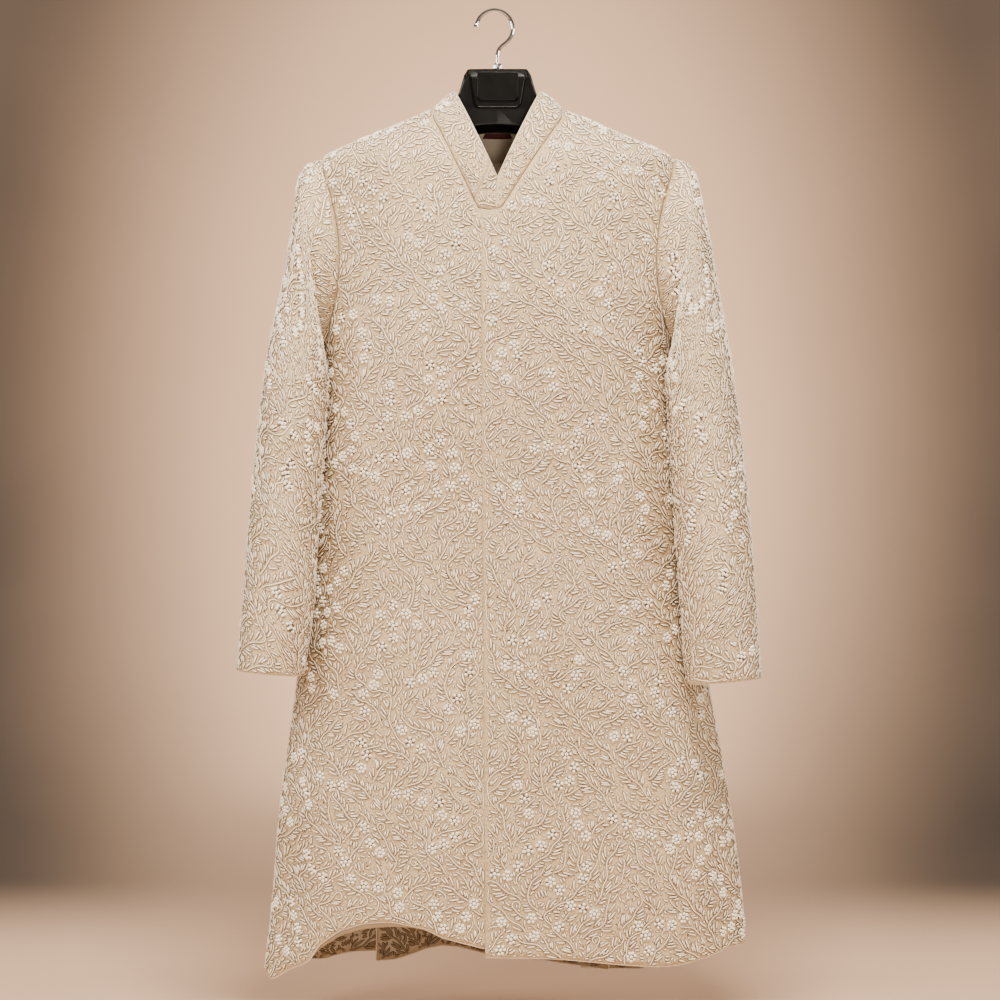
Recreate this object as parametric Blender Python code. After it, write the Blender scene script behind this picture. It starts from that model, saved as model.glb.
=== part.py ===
"""Sherwani coat hanging on a wide suit hanger.

Metres. X runs to the viewer's right, the front of the coat faces -Y and Z is up.
The origin is the inner top of the hook's bow, where the hanger rests on a rod.
The cloth is worked out on rings around the body: a turn of 0 degrees is the middle
of the front, +90 the viewer's right side and 180 the middle of the back.
"""
import math

import bmesh
import bpy
import numpy as np

CLOTH = 0.0023             # thickness of the lined shell
COLLAR_CLOTH = 0.0030      # the collar is stiffened
SEAM = 0.00034             # gap left between two pieces at a seam
BEND_SHARE = 0.9           # how much closer the columns of a panel lie on a bend
HOOK_SIDE = 0.0036         # the hook's bow stands this far left of its stem

# Rings of the coat, from the neck down to the hem.
BODY_COLUMNS = ("level", "half_width", "front", "back", "middle", "square")
BODY = [
    (-0.119, 0.0785, 0.058, 0.060, 0.0005, 2.2),
    (-0.131, 0.1070, 0.064, 0.065, 0.0005, 2.2),
    (-0.148, 0.1470, 0.071, 0.070, 0.0005, 2.2),
    (-0.163, 0.1830, 0.077, 0.075, 0.0005, 2.3),
    (-0.172, 0.2025, 0.081, 0.079, 0.0005, 2.3),
    (-0.178, 0.2085, 0.084, 0.081, 0.0005, 2.3),
    (-0.192, 0.2125, 0.088, 0.085, 0.0005, 2.3),
    (-0.222, 0.2135, 0.094, 0.090, 0.0005, 2.3),
    (-0.290, 0.2125, 0.102, 0.096, 0.0005, 2.3),
    (-0.350, 0.2090, 0.106, 0.098, 0.0005, 2.3),
    (-0.405, 0.2065, 0.108, 0.098, 0.0005, 2.3),
    (-0.510, 0.2105, 0.106, 0.095, 0.0010, 2.3),
    (-0.600, 0.2190, 0.104, 0.093, 0.0020, 2.3),
    (-0.700, 0.2290, 0.104, 0.094, 0.0035, 2.3),
    (-0.820, 0.2480, 0.106, 0.096, 0.0064, 2.3),
    (-0.950, 0.2684, 0.108, 0.098, 0.0086, 2.3),
    (-1.060, 0.2803, 0.110, 0.100, 0.0105, 2.3),
    (-1.130, 0.2872, 0.111, 0.101, 0.0090, 2.3),
]
NECK_LEVEL = BODY[0][0]
HEM_LEVEL = BODY[-1][0]

# Soft folds of the shell: where each one is at its top and at the hem, and how high.
FOLD_COLUMNS = ("turn_top", "turn_hem", "level_top", "spread", "height")
FOLDS = [
    (-63.0, -66.0, -0.38, 9.0, -0.0045),
    (-47.0, -47.0, -0.36, 10.0, 0.0045),
    (-35.0, -30.0, -0.42, 9.0, -0.0040),
    (-14.0, -12.0, -0.70, 10.0, 0.0030),
    (62.0, 64.0, -0.36, 9.0, -0.0045),
    (46.0, 50.0, -0.55, 12.0, 0.0035),
    (22.0, 20.0, -0.80, 12.0, -0.0020),
    (128.0, 124.0, -0.30, 12.0, 0.0045),
    (152.0, 156.0, -0.60, 10.0, -0.0040),
    (-126.0, -122.0, -0.30, 12.0, 0.0045),
    (-150.0, -154.0, -0.55, 11.0, -0.0045),
    (180.0, 178.0, -0.75, 12.0, 0.0035),
]

# The collar seam on each front, and the edges of the fronts below it.
NECK_COLUMNS = ("level", "right", "left")
NECK = [
    (-0.1190, 0.0775, 0.0775),
    (-0.1225, 0.0773, 0.0773),
    (-0.1306, 0.0768, 0.0768),
    (-0.1500, 0.0650, 0.0675),
    (-0.1800, 0.0451, 0.0531),
    (-0.2100, 0.0258, 0.0387),
    (-0.2431, 0.0050, 0.0228),
]
EDGE_COLUMNS = ("level", "right_front", "left_front")
EDGE = [
    (-0.2431, 0.0050, -0.0228),
    (-0.2450, -0.0040, -0.0100),
    (-0.2468, -0.0140, 0.0020),
    (-0.2520, -0.0190, 0.0180),
    (-0.3000, -0.0192, 0.0450),
    (-0.7000, -0.0166, 0.0500),
    (-1.1300, -0.0140, 0.0500),
]
BACK_NECK_DIP = 0.016      # the back neck is this much lower than the shoulder point

# Height of the hem against the distance from the middle.
HEM_COLUMNS = ("across", "height")
HEM_LEFT_FRONT = [
    (-0.2800, -1.1450), (-0.2720, -1.1560), (-0.2565, -1.1450), (-0.2430, -1.1380),
    (-0.2300, -1.1330), (-0.2200, -1.1270), (-0.2080, -1.1080), (-0.1860, -1.0910),
    (-0.1630, -1.0830), (-0.1440, -1.0803), (-0.1220, -1.0797), (-0.1030, -1.0827),
    (-0.0840, -1.0862), (-0.0660, -1.0953), (-0.0470, -1.1004), (-0.0160, -1.1090),
    (0.0600, -1.1120),
]
HEM_RIGHT_FRONT = [
    (-0.0140, -1.1190), (0.0415, -1.1201), (0.0747, -1.1215), (0.1105, -1.1253),
    (0.1483, -1.1293), (0.1870, -1.1324), (0.2128, -1.1312), (0.2283, -1.1274),
    (0.2524, -1.1216), (0.2771, -1.1153), (0.2960, -1.1144),
]
HEM_BACK_MIDDLE = [
    (-0.1500, -1.1489), (-0.1280, -1.1477), (-0.1084, -1.1422), (-0.0888, -1.1354),
    (-0.0696, -1.1325), (-0.0499, -1.1342), (-0.0302, -1.1391), (-0.0167, -1.1428),
    (0.0436, -1.1496), (0.1371, -1.1604),
]
HEM_BACK_LEFT = [
    (-0.2800, -1.1436), (-0.2280, -1.1450), (-0.2120, -1.1458), (-0.1940, -1.1405),
    (-0.1787, -1.1378), (-0.1100, -1.1364),
]
HEM_BACK_RIGHT = [
    (0.1000, -1.1590), (0.1394, -1.1595), (0.1745, -1.1595), (0.2300, -1.1420),
    (0.2960, -1.1150),
]
HEM_STARTS = -0.72         # rows above this level stay level

# Armholes.
ARM_TOP = -0.178
ARM_BOTTOM = -0.405
ARM_FRONT_TURN = 31.5      # how far the armhole reaches into the front
ARM_BACK_TURN = 27.0

# Seams of the back, as a distance from the middle; the vents open below VENT_TOP.
BACK_SEAM_COLUMNS = ("level", "left", "right")
BACK_SEAM = [
    (-0.300, -0.1900, 0.1900),
    (-0.350, -0.1700, 0.1700),
    (-0.420, -0.1480, 0.1470),
    (-0.550, -0.1350, 0.1320),
    (-0.700, -0.1400, 0.1330),
    (-0.900, -0.1470, 0.1350),
    (-1.130, -0.1497, 0.1371),
]
VENT_TOP = -0.69
SEAM_LAP = 0.008
VENT_LAP = 0.035
UNDERLAP_DEPTH = 0.0036    # how far an underlapping edge lies behind the other

# Sleeves: the outer and inner point of each ring, its middle and half depth.
SLEEVE_COLUMNS = ("outer_x", "outer_z", "inner_x", "inner_z", "middle_y", "half_depth")
LEFT_SLEEVE = [
    (0.2290, -0.1850, 0.2090, -0.4120, 0.000, 0.0660),
    (0.2385, -0.2120, 0.2040, -0.4260, -0.002, 0.0710),
    (0.2435, -0.2500, 0.2010, -0.4400, -0.005, 0.0750),
    (0.2505, -0.2960, 0.1990, -0.4560, -0.008, 0.0780),
    (0.2600, -0.3450, 0.1996, -0.4740, -0.012, 0.0800),
    (0.2700, -0.3940, 0.2017, -0.4930, -0.017, 0.0800),
    (0.2780, -0.4450, 0.2042, -0.5150, -0.023, 0.0790),
    (0.2835, -0.4980, 0.2072, -0.5450, -0.030, 0.0770),
    (0.2880, -0.5500, 0.2103, -0.5800, -0.038, 0.0740),
    (0.2920, -0.6020, 0.2131, -0.6200, -0.046, 0.0710),
    (0.2960, -0.6550, 0.2155, -0.6660, -0.055, 0.0670),
    (0.2995, -0.7080, 0.2186, -0.7150, -0.063, 0.0620),
    (0.3030, -0.7520, 0.2245, -0.7590, -0.070, 0.0570),
    (0.3055, -0.7850, 0.2297, -0.7915, -0.074, 0.0540),
]
RIGHT_SLEEVE = [
    (0.2270, -0.1800, 0.2090, -0.4120, 0.000, 0.0660),
    (0.2390, -0.2080, 0.2040, -0.4260, -0.002, 0.0710),
    (0.2480, -0.2500, 0.1985, -0.4400, -0.005, 0.0750),
    (0.2575, -0.2980, 0.1965, -0.4560, -0.008, 0.0780),
    (0.2655, -0.3480, 0.1982, -0.4740, -0.012, 0.0800),
    (0.2740, -0.3980, 0.1998, -0.4930, -0.017, 0.0800),
    (0.2810, -0.4480, 0.2016, -0.5150, -0.023, 0.0790),
    (0.2880, -0.5020, 0.2041, -0.5450, -0.030, 0.0770),
    (0.2935, -0.5560, 0.2072, -0.5820, -0.038, 0.0740),
    (0.2980, -0.6100, 0.2108, -0.6250, -0.046, 0.0710),
    (0.3015, -0.6650, 0.2148, -0.6740, -0.055, 0.0670),
    (0.3045, -0.7150, 0.2178, -0.7230, -0.063, 0.0620),
    (0.3075, -0.7600, 0.2208, -0.7680, -0.070, 0.0570),
    (0.3100, -0.7940, 0.2235, -0.8010, -0.074, 0.0540),
]
SLEEVE_CLEAR = 0.0045      # the sleeves hang this far off the body
SLEEVE_FRONT_SEAM = 142.5  # turn of the sleeve seams, from the outer point forward
SLEEVE_BACK_SEAM = 232.5
SLEEVE_SQUARE = 2.25
SLEEVE_SIDES = 24          # twice the rows of the armhole, so the seam lies edge to edge

# Collar: the upper edge, and where its left end is joined on.
COLLAR_HALF_WIDTH = 0.0520
COLLAR_FRONT_Y = -0.0900
COLLAR_BACK_Y = 0.0500
COLLAR_FRONT_Z = -0.2060
COLLAR_SIDE_Z = -0.0965
COLLAR_BACK_Z = -0.0920
COLLAR_BULGE = 0.0015
COLLAR_STATIONS = 29       # along each half
COLLAR_ROWS = 5
COLLAR_SEAM = 0.0009       # gap along the curved collar seam
COLLAR_LEFT_JOIN = 0.036   # length of the joined end on the viewer's left
COLLAR_CROSSING = 0.0037   # the left end lies this far behind the right one
COLLAR_ENDS = {"right": (0.0010, 0.001), "left": (0.0040, 0.009)}  # past the middle, lower
COLLAR_MIDDLE = (0.0, -0.02, -0.14)

FACING_COLUMNS = ("across", "shows")
FACING = [
    (-0.2200, 0.0010), (-0.2080, 0.0050), (-0.1860, 0.0065), (-0.1630, 0.0070),
    (-0.1440, 0.0068), (-0.1220, 0.0056), (-0.1030, 0.0028), (-0.0840, 0.0025),
    (-0.0660, 0.0005), (-0.0400, 0.0003),
]
FACING_SHARE = 0.5         # of the last row, covered by the facing

# Lining and label inside the back of the neck.
LINING = 0.0012
LINING_GAP = 0.0006
LINING_TOP = -0.1215
LINING_BOTTOM = -0.262
LABEL = 0.0008
LABEL_WIDTH = 0.037
LABEL_BOTTOM = -0.1290

# Hanger: a bar along X, from its middle to the end of an arm.
BAR_COLUMNS = ("across", "top", "bottom", "half_depth")
BAR = [
    (0.0000, -0.0688, -0.1452, 0.0150),
    (0.0180, -0.0688, -0.1462, 0.0150),
    (0.0355, -0.0690, -0.1490, 0.0150),
    (0.0400, -0.0760, -0.1500, 0.0150),
    (0.0470, -0.1000, -0.1520, 0.0150),
    (0.0520, -0.1110, -0.1535, 0.0155),
    (0.0620, -0.1190, -0.1565, 0.0160),
    (0.0800, -0.1215, -0.1615, 0.0175),
    (0.0950, -0.1260, -0.1655, 0.0190),
    (0.1100, -0.1320, -0.1700, 0.0200),
    (0.1250, -0.1380, -0.1745, 0.0215),
    (0.1400, -0.1440, -0.1795, 0.0225),
    (0.1550, -0.1500, -0.1845, 0.0235),
    (0.1700, -0.1560, -0.1910, 0.0245),
    (0.1830, -0.1620, -0.1960, 0.0250),
    (0.1930, -0.1680, -0.2000, 0.0240),
    (0.2000, -0.1790, -0.2000, 0.0190),
    (0.2030, -0.1870, -0.1950, 0.0090),
]
ARM_STARTS = 0.075         # the arms lie under the shoulders from here on
SHOULDER_REST = 0.0020     # gap between an arm and the rounded shoulder on it
BADGE = {"left": -0.0245, "right": 0.0250, "bottom": -0.1085, "top": -0.0735,
         "corner": 0.005, "thickness": 0.0018}
RIDGE_COLUMNS = ("x", "z")
RIDGE = [(-0.0335, -0.0760), (-0.0272, -0.1125), (-0.0235, -0.1160),
         (0.0235, -0.1160), (0.0272, -0.1125), (0.0335, -0.0760)]
RIDGE_WIDTH = 0.0030
RIDGE_RAISED = 0.0016

# Hook: a bow of bright wire on a straight stem.
WIRE_RADIUS = 0.0023
BOW_RADIUS = 0.0220
BOW_START = 166.0
BOW_END = -52.0
TIP_RADIUS = 0.0033
STEM_TOP = -0.0520
STEM_FOOT = -0.0616
FERRULE_RADIUS = 0.0060
FERRULE_FOOT = -0.0684

MATERIALS = {
    "ivory_brocade": ((0.56, 0.45, 0.34, 1.0), 0.62, 0.0),
    "beige_lining": ((0.42, 0.34, 0.26, 1.0), 0.45, 0.0),
    "red_label": ((0.10, 0.01, 0.01, 1.0), 0.70, 0.0),
    "black_plastic": ((0.012, 0.010, 0.010, 1.0), 0.22, 0.0),
    "bright_steel": ((0.78, 0.76, 0.73, 1.0), 0.18, 1.0),
}


def column(table, names, name):
    """One named column of a table, as an array."""
    return np.array([row[names.index(name)] for row in table], dtype=float)


def smooth_read(where, stops, values):
    """Read a smooth curve through the stops of a table."""
    order = np.argsort(stops)
    stops = np.asarray(stops, float)[order]
    values = np.asarray(values, float)[order]
    slopes = np.gradient(values, stops)
    where = np.clip(where, stops[0], stops[-1])
    k = np.clip(np.searchsorted(stops, where) - 1, 0, len(stops) - 2)
    span = stops[k + 1] - stops[k]
    s = (where - stops[k]) / span
    h00 = 2 * s**3 - 3 * s**2 + 1
    h10 = s**3 - 2 * s**2 + s
    h01 = -2 * s**3 + 3 * s**2
    h11 = s**3 - s**2
    return h00 * values[k] + h10 * span * slopes[k] + h01 * values[k + 1] + h11 * span * slopes[k + 1]


def straight_read(where, stops, values):
    """Read straight lines between the stops of a table."""
    order = np.argsort(stops)
    return np.interp(where, np.asarray(stops, float)[order], np.asarray(values, float)[order])


def ease(value):
    """A soft step from 0 to 1."""
    value = np.clip(value, 0.0, 1.0)
    return value * value * (3.0 - 2.0 * value)


def body_value(name, level):
    return smooth_read(level, column(BODY, BODY_COLUMNS, "level"), column(BODY, BODY_COLUMNS, name))


def hem_height(across, hem):
    return straight_read(across, column(hem, HEM_COLUMNS, "across"), column(hem, HEM_COLUMNS, "height"))


def neck_dip(c, level):
    """How much lower the back of the neck is; c is the cosine of the turn."""
    return BACK_NECK_DIP * np.clip(-c, 0, 1)**2 * ease(1 - (NECK_LEVEL - level) / 0.06)


def ring_point(turn, level, hem):
    """Point of the plain ring surface; turn in radians."""
    half_width = body_value("half_width", level)
    square = body_value("square", level)
    s = np.sin(turn)
    c = np.cos(turn)
    reach = (np.abs(s)**square + np.abs(c)**square)**(-1.0 / square)
    depth = np.where(c > 0, body_value("front", level), body_value("back", level))
    x = body_value("middle", level) + half_width * s * reach
    y = -depth * c * reach
    dip = neck_dip(c, level)
    pull = np.clip((HEM_STARTS - level) / (HEM_STARTS - HEM_LEVEL), 0, 1)**2.4
    z = level - dip + (hem_height(x, hem) - HEM_LEVEL) * pull
    return np.stack([x, y, z], axis=-1)


def ring_normal(turn, level, hem):
    """Outward direction of the plain ring surface."""
    step = 1e-4
    along = ring_point(turn + step, level, hem) - ring_point(turn - step, level, hem)
    down = ring_point(turn, level - step, hem) - ring_point(turn, level + step, hem)
    normal = np.cross(down, along)
    return normal / np.linalg.norm(normal, axis=-1, keepdims=True)


def fold_height(turn, level):
    """How far the soft folds stand out of the plain surface."""
    total = np.zeros(np.broadcast(turn, level).shape)
    degrees = np.degrees(turn)
    for top, foot, start, spread, height in FOLDS:
        grown = ease((start - level) / (start - HEM_LEVEL) * 1.6)
        middle = top + (foot - top) * np.clip((start - level) / (start - HEM_LEVEL), 0, 1)
        away = (degrees - middle + 180.0) % 360.0 - 180.0
        total = total + height * grown * np.exp(-(away / spread)**2)
    return total


def cloth_point(turn, level, depth, hem):
    """Point of the cloth, with its folds, at a depth under the outer face."""
    turn = np.asarray(turn, float)
    level = np.asarray(level, float)
    raised = fold_height(turn, level) - depth
    return ring_point(turn, level, hem) + ring_normal(turn, level, hem) * raised[..., None]


def turn_at(across, level, facing_back=False):
    """Turn at which a ring has the given distance across."""
    ratio = (across - body_value("middle", level)) / body_value("half_width", level)
    ratio = np.clip(ratio, -0.9995, 0.9995)
    square = body_value("square", level)
    other = (1 - np.abs(ratio)**square)**(1 / square)
    return np.arctan2(ratio, -other if facing_back else other)


def armhole_turn(level, facing_back):
    """Turn of the armhole's edge, measured back from the side, or 0 outside it."""
    middle = (ARM_TOP + ARM_BOTTOM) / 2
    half = (ARM_TOP - ARM_BOTTOM) / 2
    inside = np.sqrt(np.clip(1 - ((level - middle) / half)**2, 0, 1))
    return math.radians(ARM_BACK_TURN if facing_back else ARM_FRONT_TURN) * inside


def armhole_levels(count):
    middle = (ARM_TOP + ARM_BOTTOM) / 2
    half = (ARM_TOP - ARM_BOTTOM) / 2
    return [middle + half * math.cos(math.pi * k / count) for k in range(count + 1)]


def body_rows(start, armhole_count=12, lower_count=14):
    """Levels of the rows of a panel, from the start down to the hem."""
    upper = list(np.linspace(NECK_LEVEL, ARM_TOP, 7))[:-1]
    lower = list(np.linspace(ARM_BOTTOM, HEM_LEVEL, lower_count + 1))[1:]
    rows = upper + armhole_levels(armhole_count) + lower
    kept = [level for level in rows if level < start - 1e-6]
    return [start] + [level for level in kept if start - level > 0.002]


def even_turns(start, end, level, count, hem):
    """Turns that part a row into even steps, closer together where it bends."""
    dense = np.linspace(start, end, 8 * count + 1)
    points = ring_point(dense, np.full(dense.shape, level), hem)
    steps = np.diff(points, axis=0)
    lengths = np.linalg.norm(steps, axis=1)
    heading = np.unwrap(np.arctan2(steps[:, 1], steps[:, 0]))
    bend = np.abs(np.gradient(heading))
    share = lengths / lengths.sum() + BEND_SHARE * bend / math.pi
    total = np.concatenate([[0.0], np.cumsum(share)])
    return np.interp(np.linspace(0, total[-1], count + 1), total, dense)


def panel_grid(rows, start_turn, end_turn, count, hem):
    turns = [even_turns(start_turn(level), end_turn(level), level, count, hem) for level in rows]
    levels = [[level] * (count + 1) for level in rows]
    return np.array(turns), np.array(levels)


def wall_mesh(outer, inner):
    """Closed wall between two grids of points of the same shape."""
    rows, columns = outer.shape[:2]
    points = np.concatenate([outer.reshape(-1, 3), inner.reshape(-1, 3)])
    half = rows * columns
    faces = []
    for r in range(rows - 1):
        for c in range(columns - 1):
            a, b = r * columns + c, r * columns + c + 1
            d, e = a + columns, b + columns
            faces.append((a, b, e, d))
            faces.append((half + a, half + d, half + e, half + b))
    rim = [c for c in range(columns)]
    rim += [r * columns + columns - 1 for r in range(1, rows)]
    rim += [(rows - 1) * columns + c for c in range(columns - 2, -1, -1)]
    rim += [r * columns for r in range(rows - 2, 0, -1)]
    for k, a in enumerate(rim):
        b = rim[(k + 1) % len(rim)]
        faces.append((b, a, half + a, half + b))
    return points, faces


def ring_mesh(sections):
    """Closed body through rings of points, with a flat cap at each end."""
    count = len(sections[0])
    points = np.concatenate(sections)
    faces = []
    for r in range(len(sections) - 1):
        for c in range(count):
            a = r * count + c
            b = r * count + (c + 1) % count
            faces.append((a, b, b + count, a + count))
    faces.append(tuple(range(count - 1, -1, -1)))
    faces.append(tuple(range((len(sections) - 1) * count, len(sections) * count)))
    return points, faces


def add_object(name, points, faces, material, smooth=True):
    moved = np.asarray(points, float) + np.array([HOOK_SIDE, 0.0, 0.0])
    mesh = bpy.data.meshes.new(name)
    mesh.from_pydata([tuple(p) for p in moved], [], faces)
    form = bmesh.new()
    form.from_mesh(mesh)
    bmesh.ops.recalc_face_normals(form, faces=form.faces)
    volume = form.calc_volume(signed=True)
    if volume < 0:
        bmesh.ops.reverse_faces(form, faces=form.faces)
    for face in form.faces:
        face.smooth = smooth
    form.to_mesh(mesh)
    form.free()
    mesh.update()
    thing = bpy.data.objects.new(name, mesh)
    bpy.context.scene.collection.objects.link(thing)
    mesh.materials.append(made_material(material))
    return thing


def made_material(name):
    if name in bpy.data.materials:
        return bpy.data.materials[name]
    colour, roughness, metallic = MATERIALS[name]
    material = bpy.data.materials.new(name)
    material.use_nodes = True
    shader = material.node_tree.nodes["Principled BSDF"]
    shader.inputs["Base Color"].default_value = colour
    shader.inputs["Roughness"].default_value = roughness
    shader.inputs["Metallic"].default_value = metallic
    return material


def neck_across(level, side):
    return smooth_read(level, column(NECK, NECK_COLUMNS, "level"), column(NECK, NECK_COLUMNS, side))


def edge_across(level, side):
    return straight_read(level, column(EDGE, EDGE_COLUMNS, "level"), column(EDGE, EDGE_COLUMNS, side))


def seam_turn(level, gap):
    """A small turn that parts two pieces by the given gap at the sides."""
    return gap / body_value("half_width", level)


def side_edge(level, sign, facing_back=False):
    """Turn of the shoulder seam, the armhole's edge or the side seam at a level."""
    back = armhole_turn(level, facing_back)
    open_gap = seam_turn(level, SEAM * (0.5 + 1.5 * (back > 0.01)))
    if facing_back:
        return sign * (math.pi / 2 + back + open_gap)
    return sign * (math.pi / 2 - back - open_gap)


FRONT_COLUMNS = {"right": 11, "left": 15}
BACK_COLUMNS = 16
SIDE_COLUMNS = 7
SIDE_TOP = -0.322          # the side backs start here, under the armholes
FRONT_STOPS = [-0.1225, -0.1306, -0.2431, -0.2450, -0.2468, -0.2520, -0.2600]


def front_rows(first):
    rows = [level for level in body_rows(first) if abs(level + 0.2475) > 0.008]
    rows = [level for level in rows if level > -0.1200 or level < -0.1320]
    return sorted(set(rows + FRONT_STOPS), reverse=True)


def right_front_edge(level):
    if level > -0.2431:
        return turn_at(neck_across(level, "right"), level)
    return turn_at(edge_across(level, "right_front"), level)


def left_front_edge(level):
    if level > -0.2431:
        return turn_at(-neck_across(level, "left"), level)
    return turn_at(edge_across(level, "left_front"), level)


def left_front_depth(turns, levels):
    """The left front sinks behind the right one where they cross."""
    across = ring_point(turns, levels, HEM_LEFT_FRONT)[..., 0]
    return UNDERLAP_DEPTH * ease((across + 0.040) / 0.017)


def make_fronts():
    rows = front_rows(NECK_LEVEL)
    turns, levels = panel_grid(rows, right_front_edge, lambda level: side_edge(level, 1.0),
                               FRONT_COLUMNS["right"], HEM_RIGHT_FRONT)
    outer = cloth_point(turns, levels, 0.0, HEM_RIGHT_FRONT)
    inner = cloth_point(turns, levels, CLOTH, HEM_RIGHT_FRONT)
    add_object("front_right", *wall_mesh(outer, inner), "ivory_brocade")

    turns, levels = panel_grid(rows, left_front_edge, lambda level: side_edge(level, -1.0),
                               FRONT_COLUMNS["left"], HEM_LEFT_FRONT)
    depth = left_front_depth(turns, levels)
    outer = cloth_point(turns, levels, depth, HEM_LEFT_FRONT)
    inner = cloth_point(turns, levels, depth + CLOTH, HEM_LEFT_FRONT)
    add_object("front_left", *wall_mesh(outer, inner), "ivory_brocade")
    make_facing(inner, (inner - outer) / CLOTH)


def back_seam_turn(level, side):
    across = smooth_read(level, column(BACK_SEAM, BACK_SEAM_COLUMNS, "level"),
                         column(BACK_SEAM, BACK_SEAM_COLUMNS, side))
    turn = turn_at(across, level, facing_back=True)
    return turn if side == "right" else turn + 2 * math.pi


def back_middle_edge(level, side):
    """Edge of the middle back, as a turn between 90 and 270 degrees."""
    seam_top = BACK_SEAM[0][0]
    edge = side_edge(level, 1.0, facing_back=True)
    if side == "left":
        edge = 2 * math.pi - edge
    if level > seam_top:
        return edge
    blend = ease((seam_top - level) / 0.012)
    return edge * (1 - blend) + back_seam_turn(level, side) * blend


def middle_depth(turns, levels):
    """The middle back lies inside the side pieces, close to the seams."""
    right = np.array([[back_seam_turn(level, "right") for level in row] for row in levels])
    left = np.array([[back_seam_turn(level, "left") for level in row] for row in levels])
    radius = body_value("half_width", levels)
    from_edge = np.minimum(turns - right, left - turns) * radius
    near = 1 - ease((from_edge - 0.045) / 0.040)
    below = ease((BACK_SEAM[0][0] - levels) / 0.010 + 0.5)
    return UNDERLAP_DEPTH * near * below


def middle_grid(rows):
    return panel_grid(rows, lambda level: back_middle_edge(level, "right"),
                      lambda level: back_middle_edge(level, "left"), BACK_COLUMNS, HEM_BACK_MIDDLE)


def make_back():
    turns, levels = middle_grid(body_rows(NECK_LEVEL))
    depth = middle_depth(turns, levels)
    outer = cloth_point(turns, levels, depth, HEM_BACK_MIDDLE)
    inner = cloth_point(turns, levels, depth + CLOTH, HEM_BACK_MIDDLE)
    add_object("back_middle", *wall_mesh(outer, inner), "ivory_brocade")

    for side, sign, hem in (("right", 1.0, HEM_BACK_RIGHT), ("left", -1.0, HEM_BACK_LEFT)):
        def outer_edge(level):
            return side_edge(level, 1.0, facing_back=True)

        def inner_edge(level):
            lap = SEAM_LAP + (VENT_LAP - SEAM_LAP) * ease((VENT_TOP - level) / 0.03)
            seam = back_seam_turn(level, side)
            if side == "left":
                seam = 2 * math.pi - seam
            return seam + lap / body_value("half_width", level) * ease((SIDE_TOP + 0.010 - level) / 0.05)

        rows = body_rows(SIDE_TOP)
        turns, levels = panel_grid(rows, outer_edge, inner_edge, SIDE_COLUMNS, hem)
        turns = turns * sign
        outer = cloth_point(turns, levels, 0.0, hem)
        inner = cloth_point(turns, levels, CLOTH, hem)
        add_object("back_side_" + side, *wall_mesh(outer, inner), "ivory_brocade")


def armhole_point(angle, sign, depth, outward):
    """Point of the armhole's edge; 0 is its top, 90 degrees its front."""
    middle = (ARM_TOP + ARM_BOTTOM) / 2
    half = (ARM_TOP - ARM_BOTTOM) / 2
    level = middle + (half - outward) * np.cos(angle)
    swing = np.sin(angle)
    reach = np.where(swing > 0, ARM_FRONT_TURN, -ARM_BACK_TURN)
    narrow = 1 - outward / 0.055
    turn = sign * (math.pi / 2 - np.radians(reach) * np.abs(swing) * narrow)
    hem = HEM_RIGHT_FRONT if sign > 0 else HEM_LEFT_FRONT
    return cloth_point(turn, level, depth, hem)


def body_side_reach(y, z):
    """Half width of the body at a distance y in front of its middle."""
    square = body_value("square", z)
    depth = np.where(y < 0, body_value("front", z), body_value("back", z))
    ratio = np.clip(np.abs(y) / depth, 0, 1)
    return body_value("half_width", z) * (1 - ratio**square)**(1 / square)


def sleeve_ring(row, sign, angles):
    """Ring of a sleeve from a row of its table."""
    outer_x, outer_z, inner_x, inner_z, middle_y, half_depth = row
    c = np.cos(angles)
    s = np.sin(angles)
    reach = (np.abs(s)**SLEEVE_SQUARE + np.abs(c)**SLEEVE_SQUARE)**(-1 / SLEEVE_SQUARE)
    x = (outer_x + inner_x) / 2 + (outer_x - inner_x) / 2 * c * reach
    z = (outer_z + inner_z) / 2 + (outer_z - inner_z) / 2 * c * reach
    y = middle_y - half_depth * s * reach
    offset = body_value("middle", z) * sign
    least = offset + body_side_reach(y, z) + SLEEVE_CLEAR
    below = z < ARM_BOTTOM + 0.004
    x = np.where(below, np.maximum(x, least), x)
    return np.stack([sign * x, y, z], axis=-1)


def sleeve_rings(table, sign, angles):
    """All rings of a sleeve, from the armhole to the cuff."""
    extra = []
    for first, second in zip(table[:-1], table[1:]):
        extra.append(first)
        extra.append(tuple((a + b) / 2 for a, b in zip(first, second)))
    extra.append(table[-1])
    keys = np.linspace(0, len(table) - 1, len(extra))
    stops = np.arange(len(table))
    fine = np.stack([smooth_read(keys, stops, np.array(table)[:, k]) for k in range(6)], axis=-1)
    armhole = armhole_point(angles, sign, 0.0, SEAM)
    rings = [armhole]
    for k, row in enumerate(fine):
        free = sleeve_ring(tuple(row), sign, angles)
        hold = (0.45, 0.18, 0.06, 0.0)[min(k, 3)]
        ahead = armhole + np.array([sign * 0.012 * (k + 1), 0.0, -0.003 * (k + 1)])
        upper = np.clip((np.cos(angles) + 0.35) / 0.6, 0, 1)[:, None]
        rings.append(free * (1 - hold * upper) + ahead * hold * upper)
    return np.array(rings)


def grid_normals(grid, outward):
    """Directions of a grid of points, pointing away from the given middles."""
    along = np.gradient(grid, axis=1)
    down = np.gradient(grid, axis=0)
    normal = np.cross(down, along)
    normal /= np.linalg.norm(normal, axis=-1, keepdims=True)
    flip = np.sign(np.sum(normal * outward, axis=-1, keepdims=True))
    return normal * np.where(flip == 0, 1.0, flip)


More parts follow.
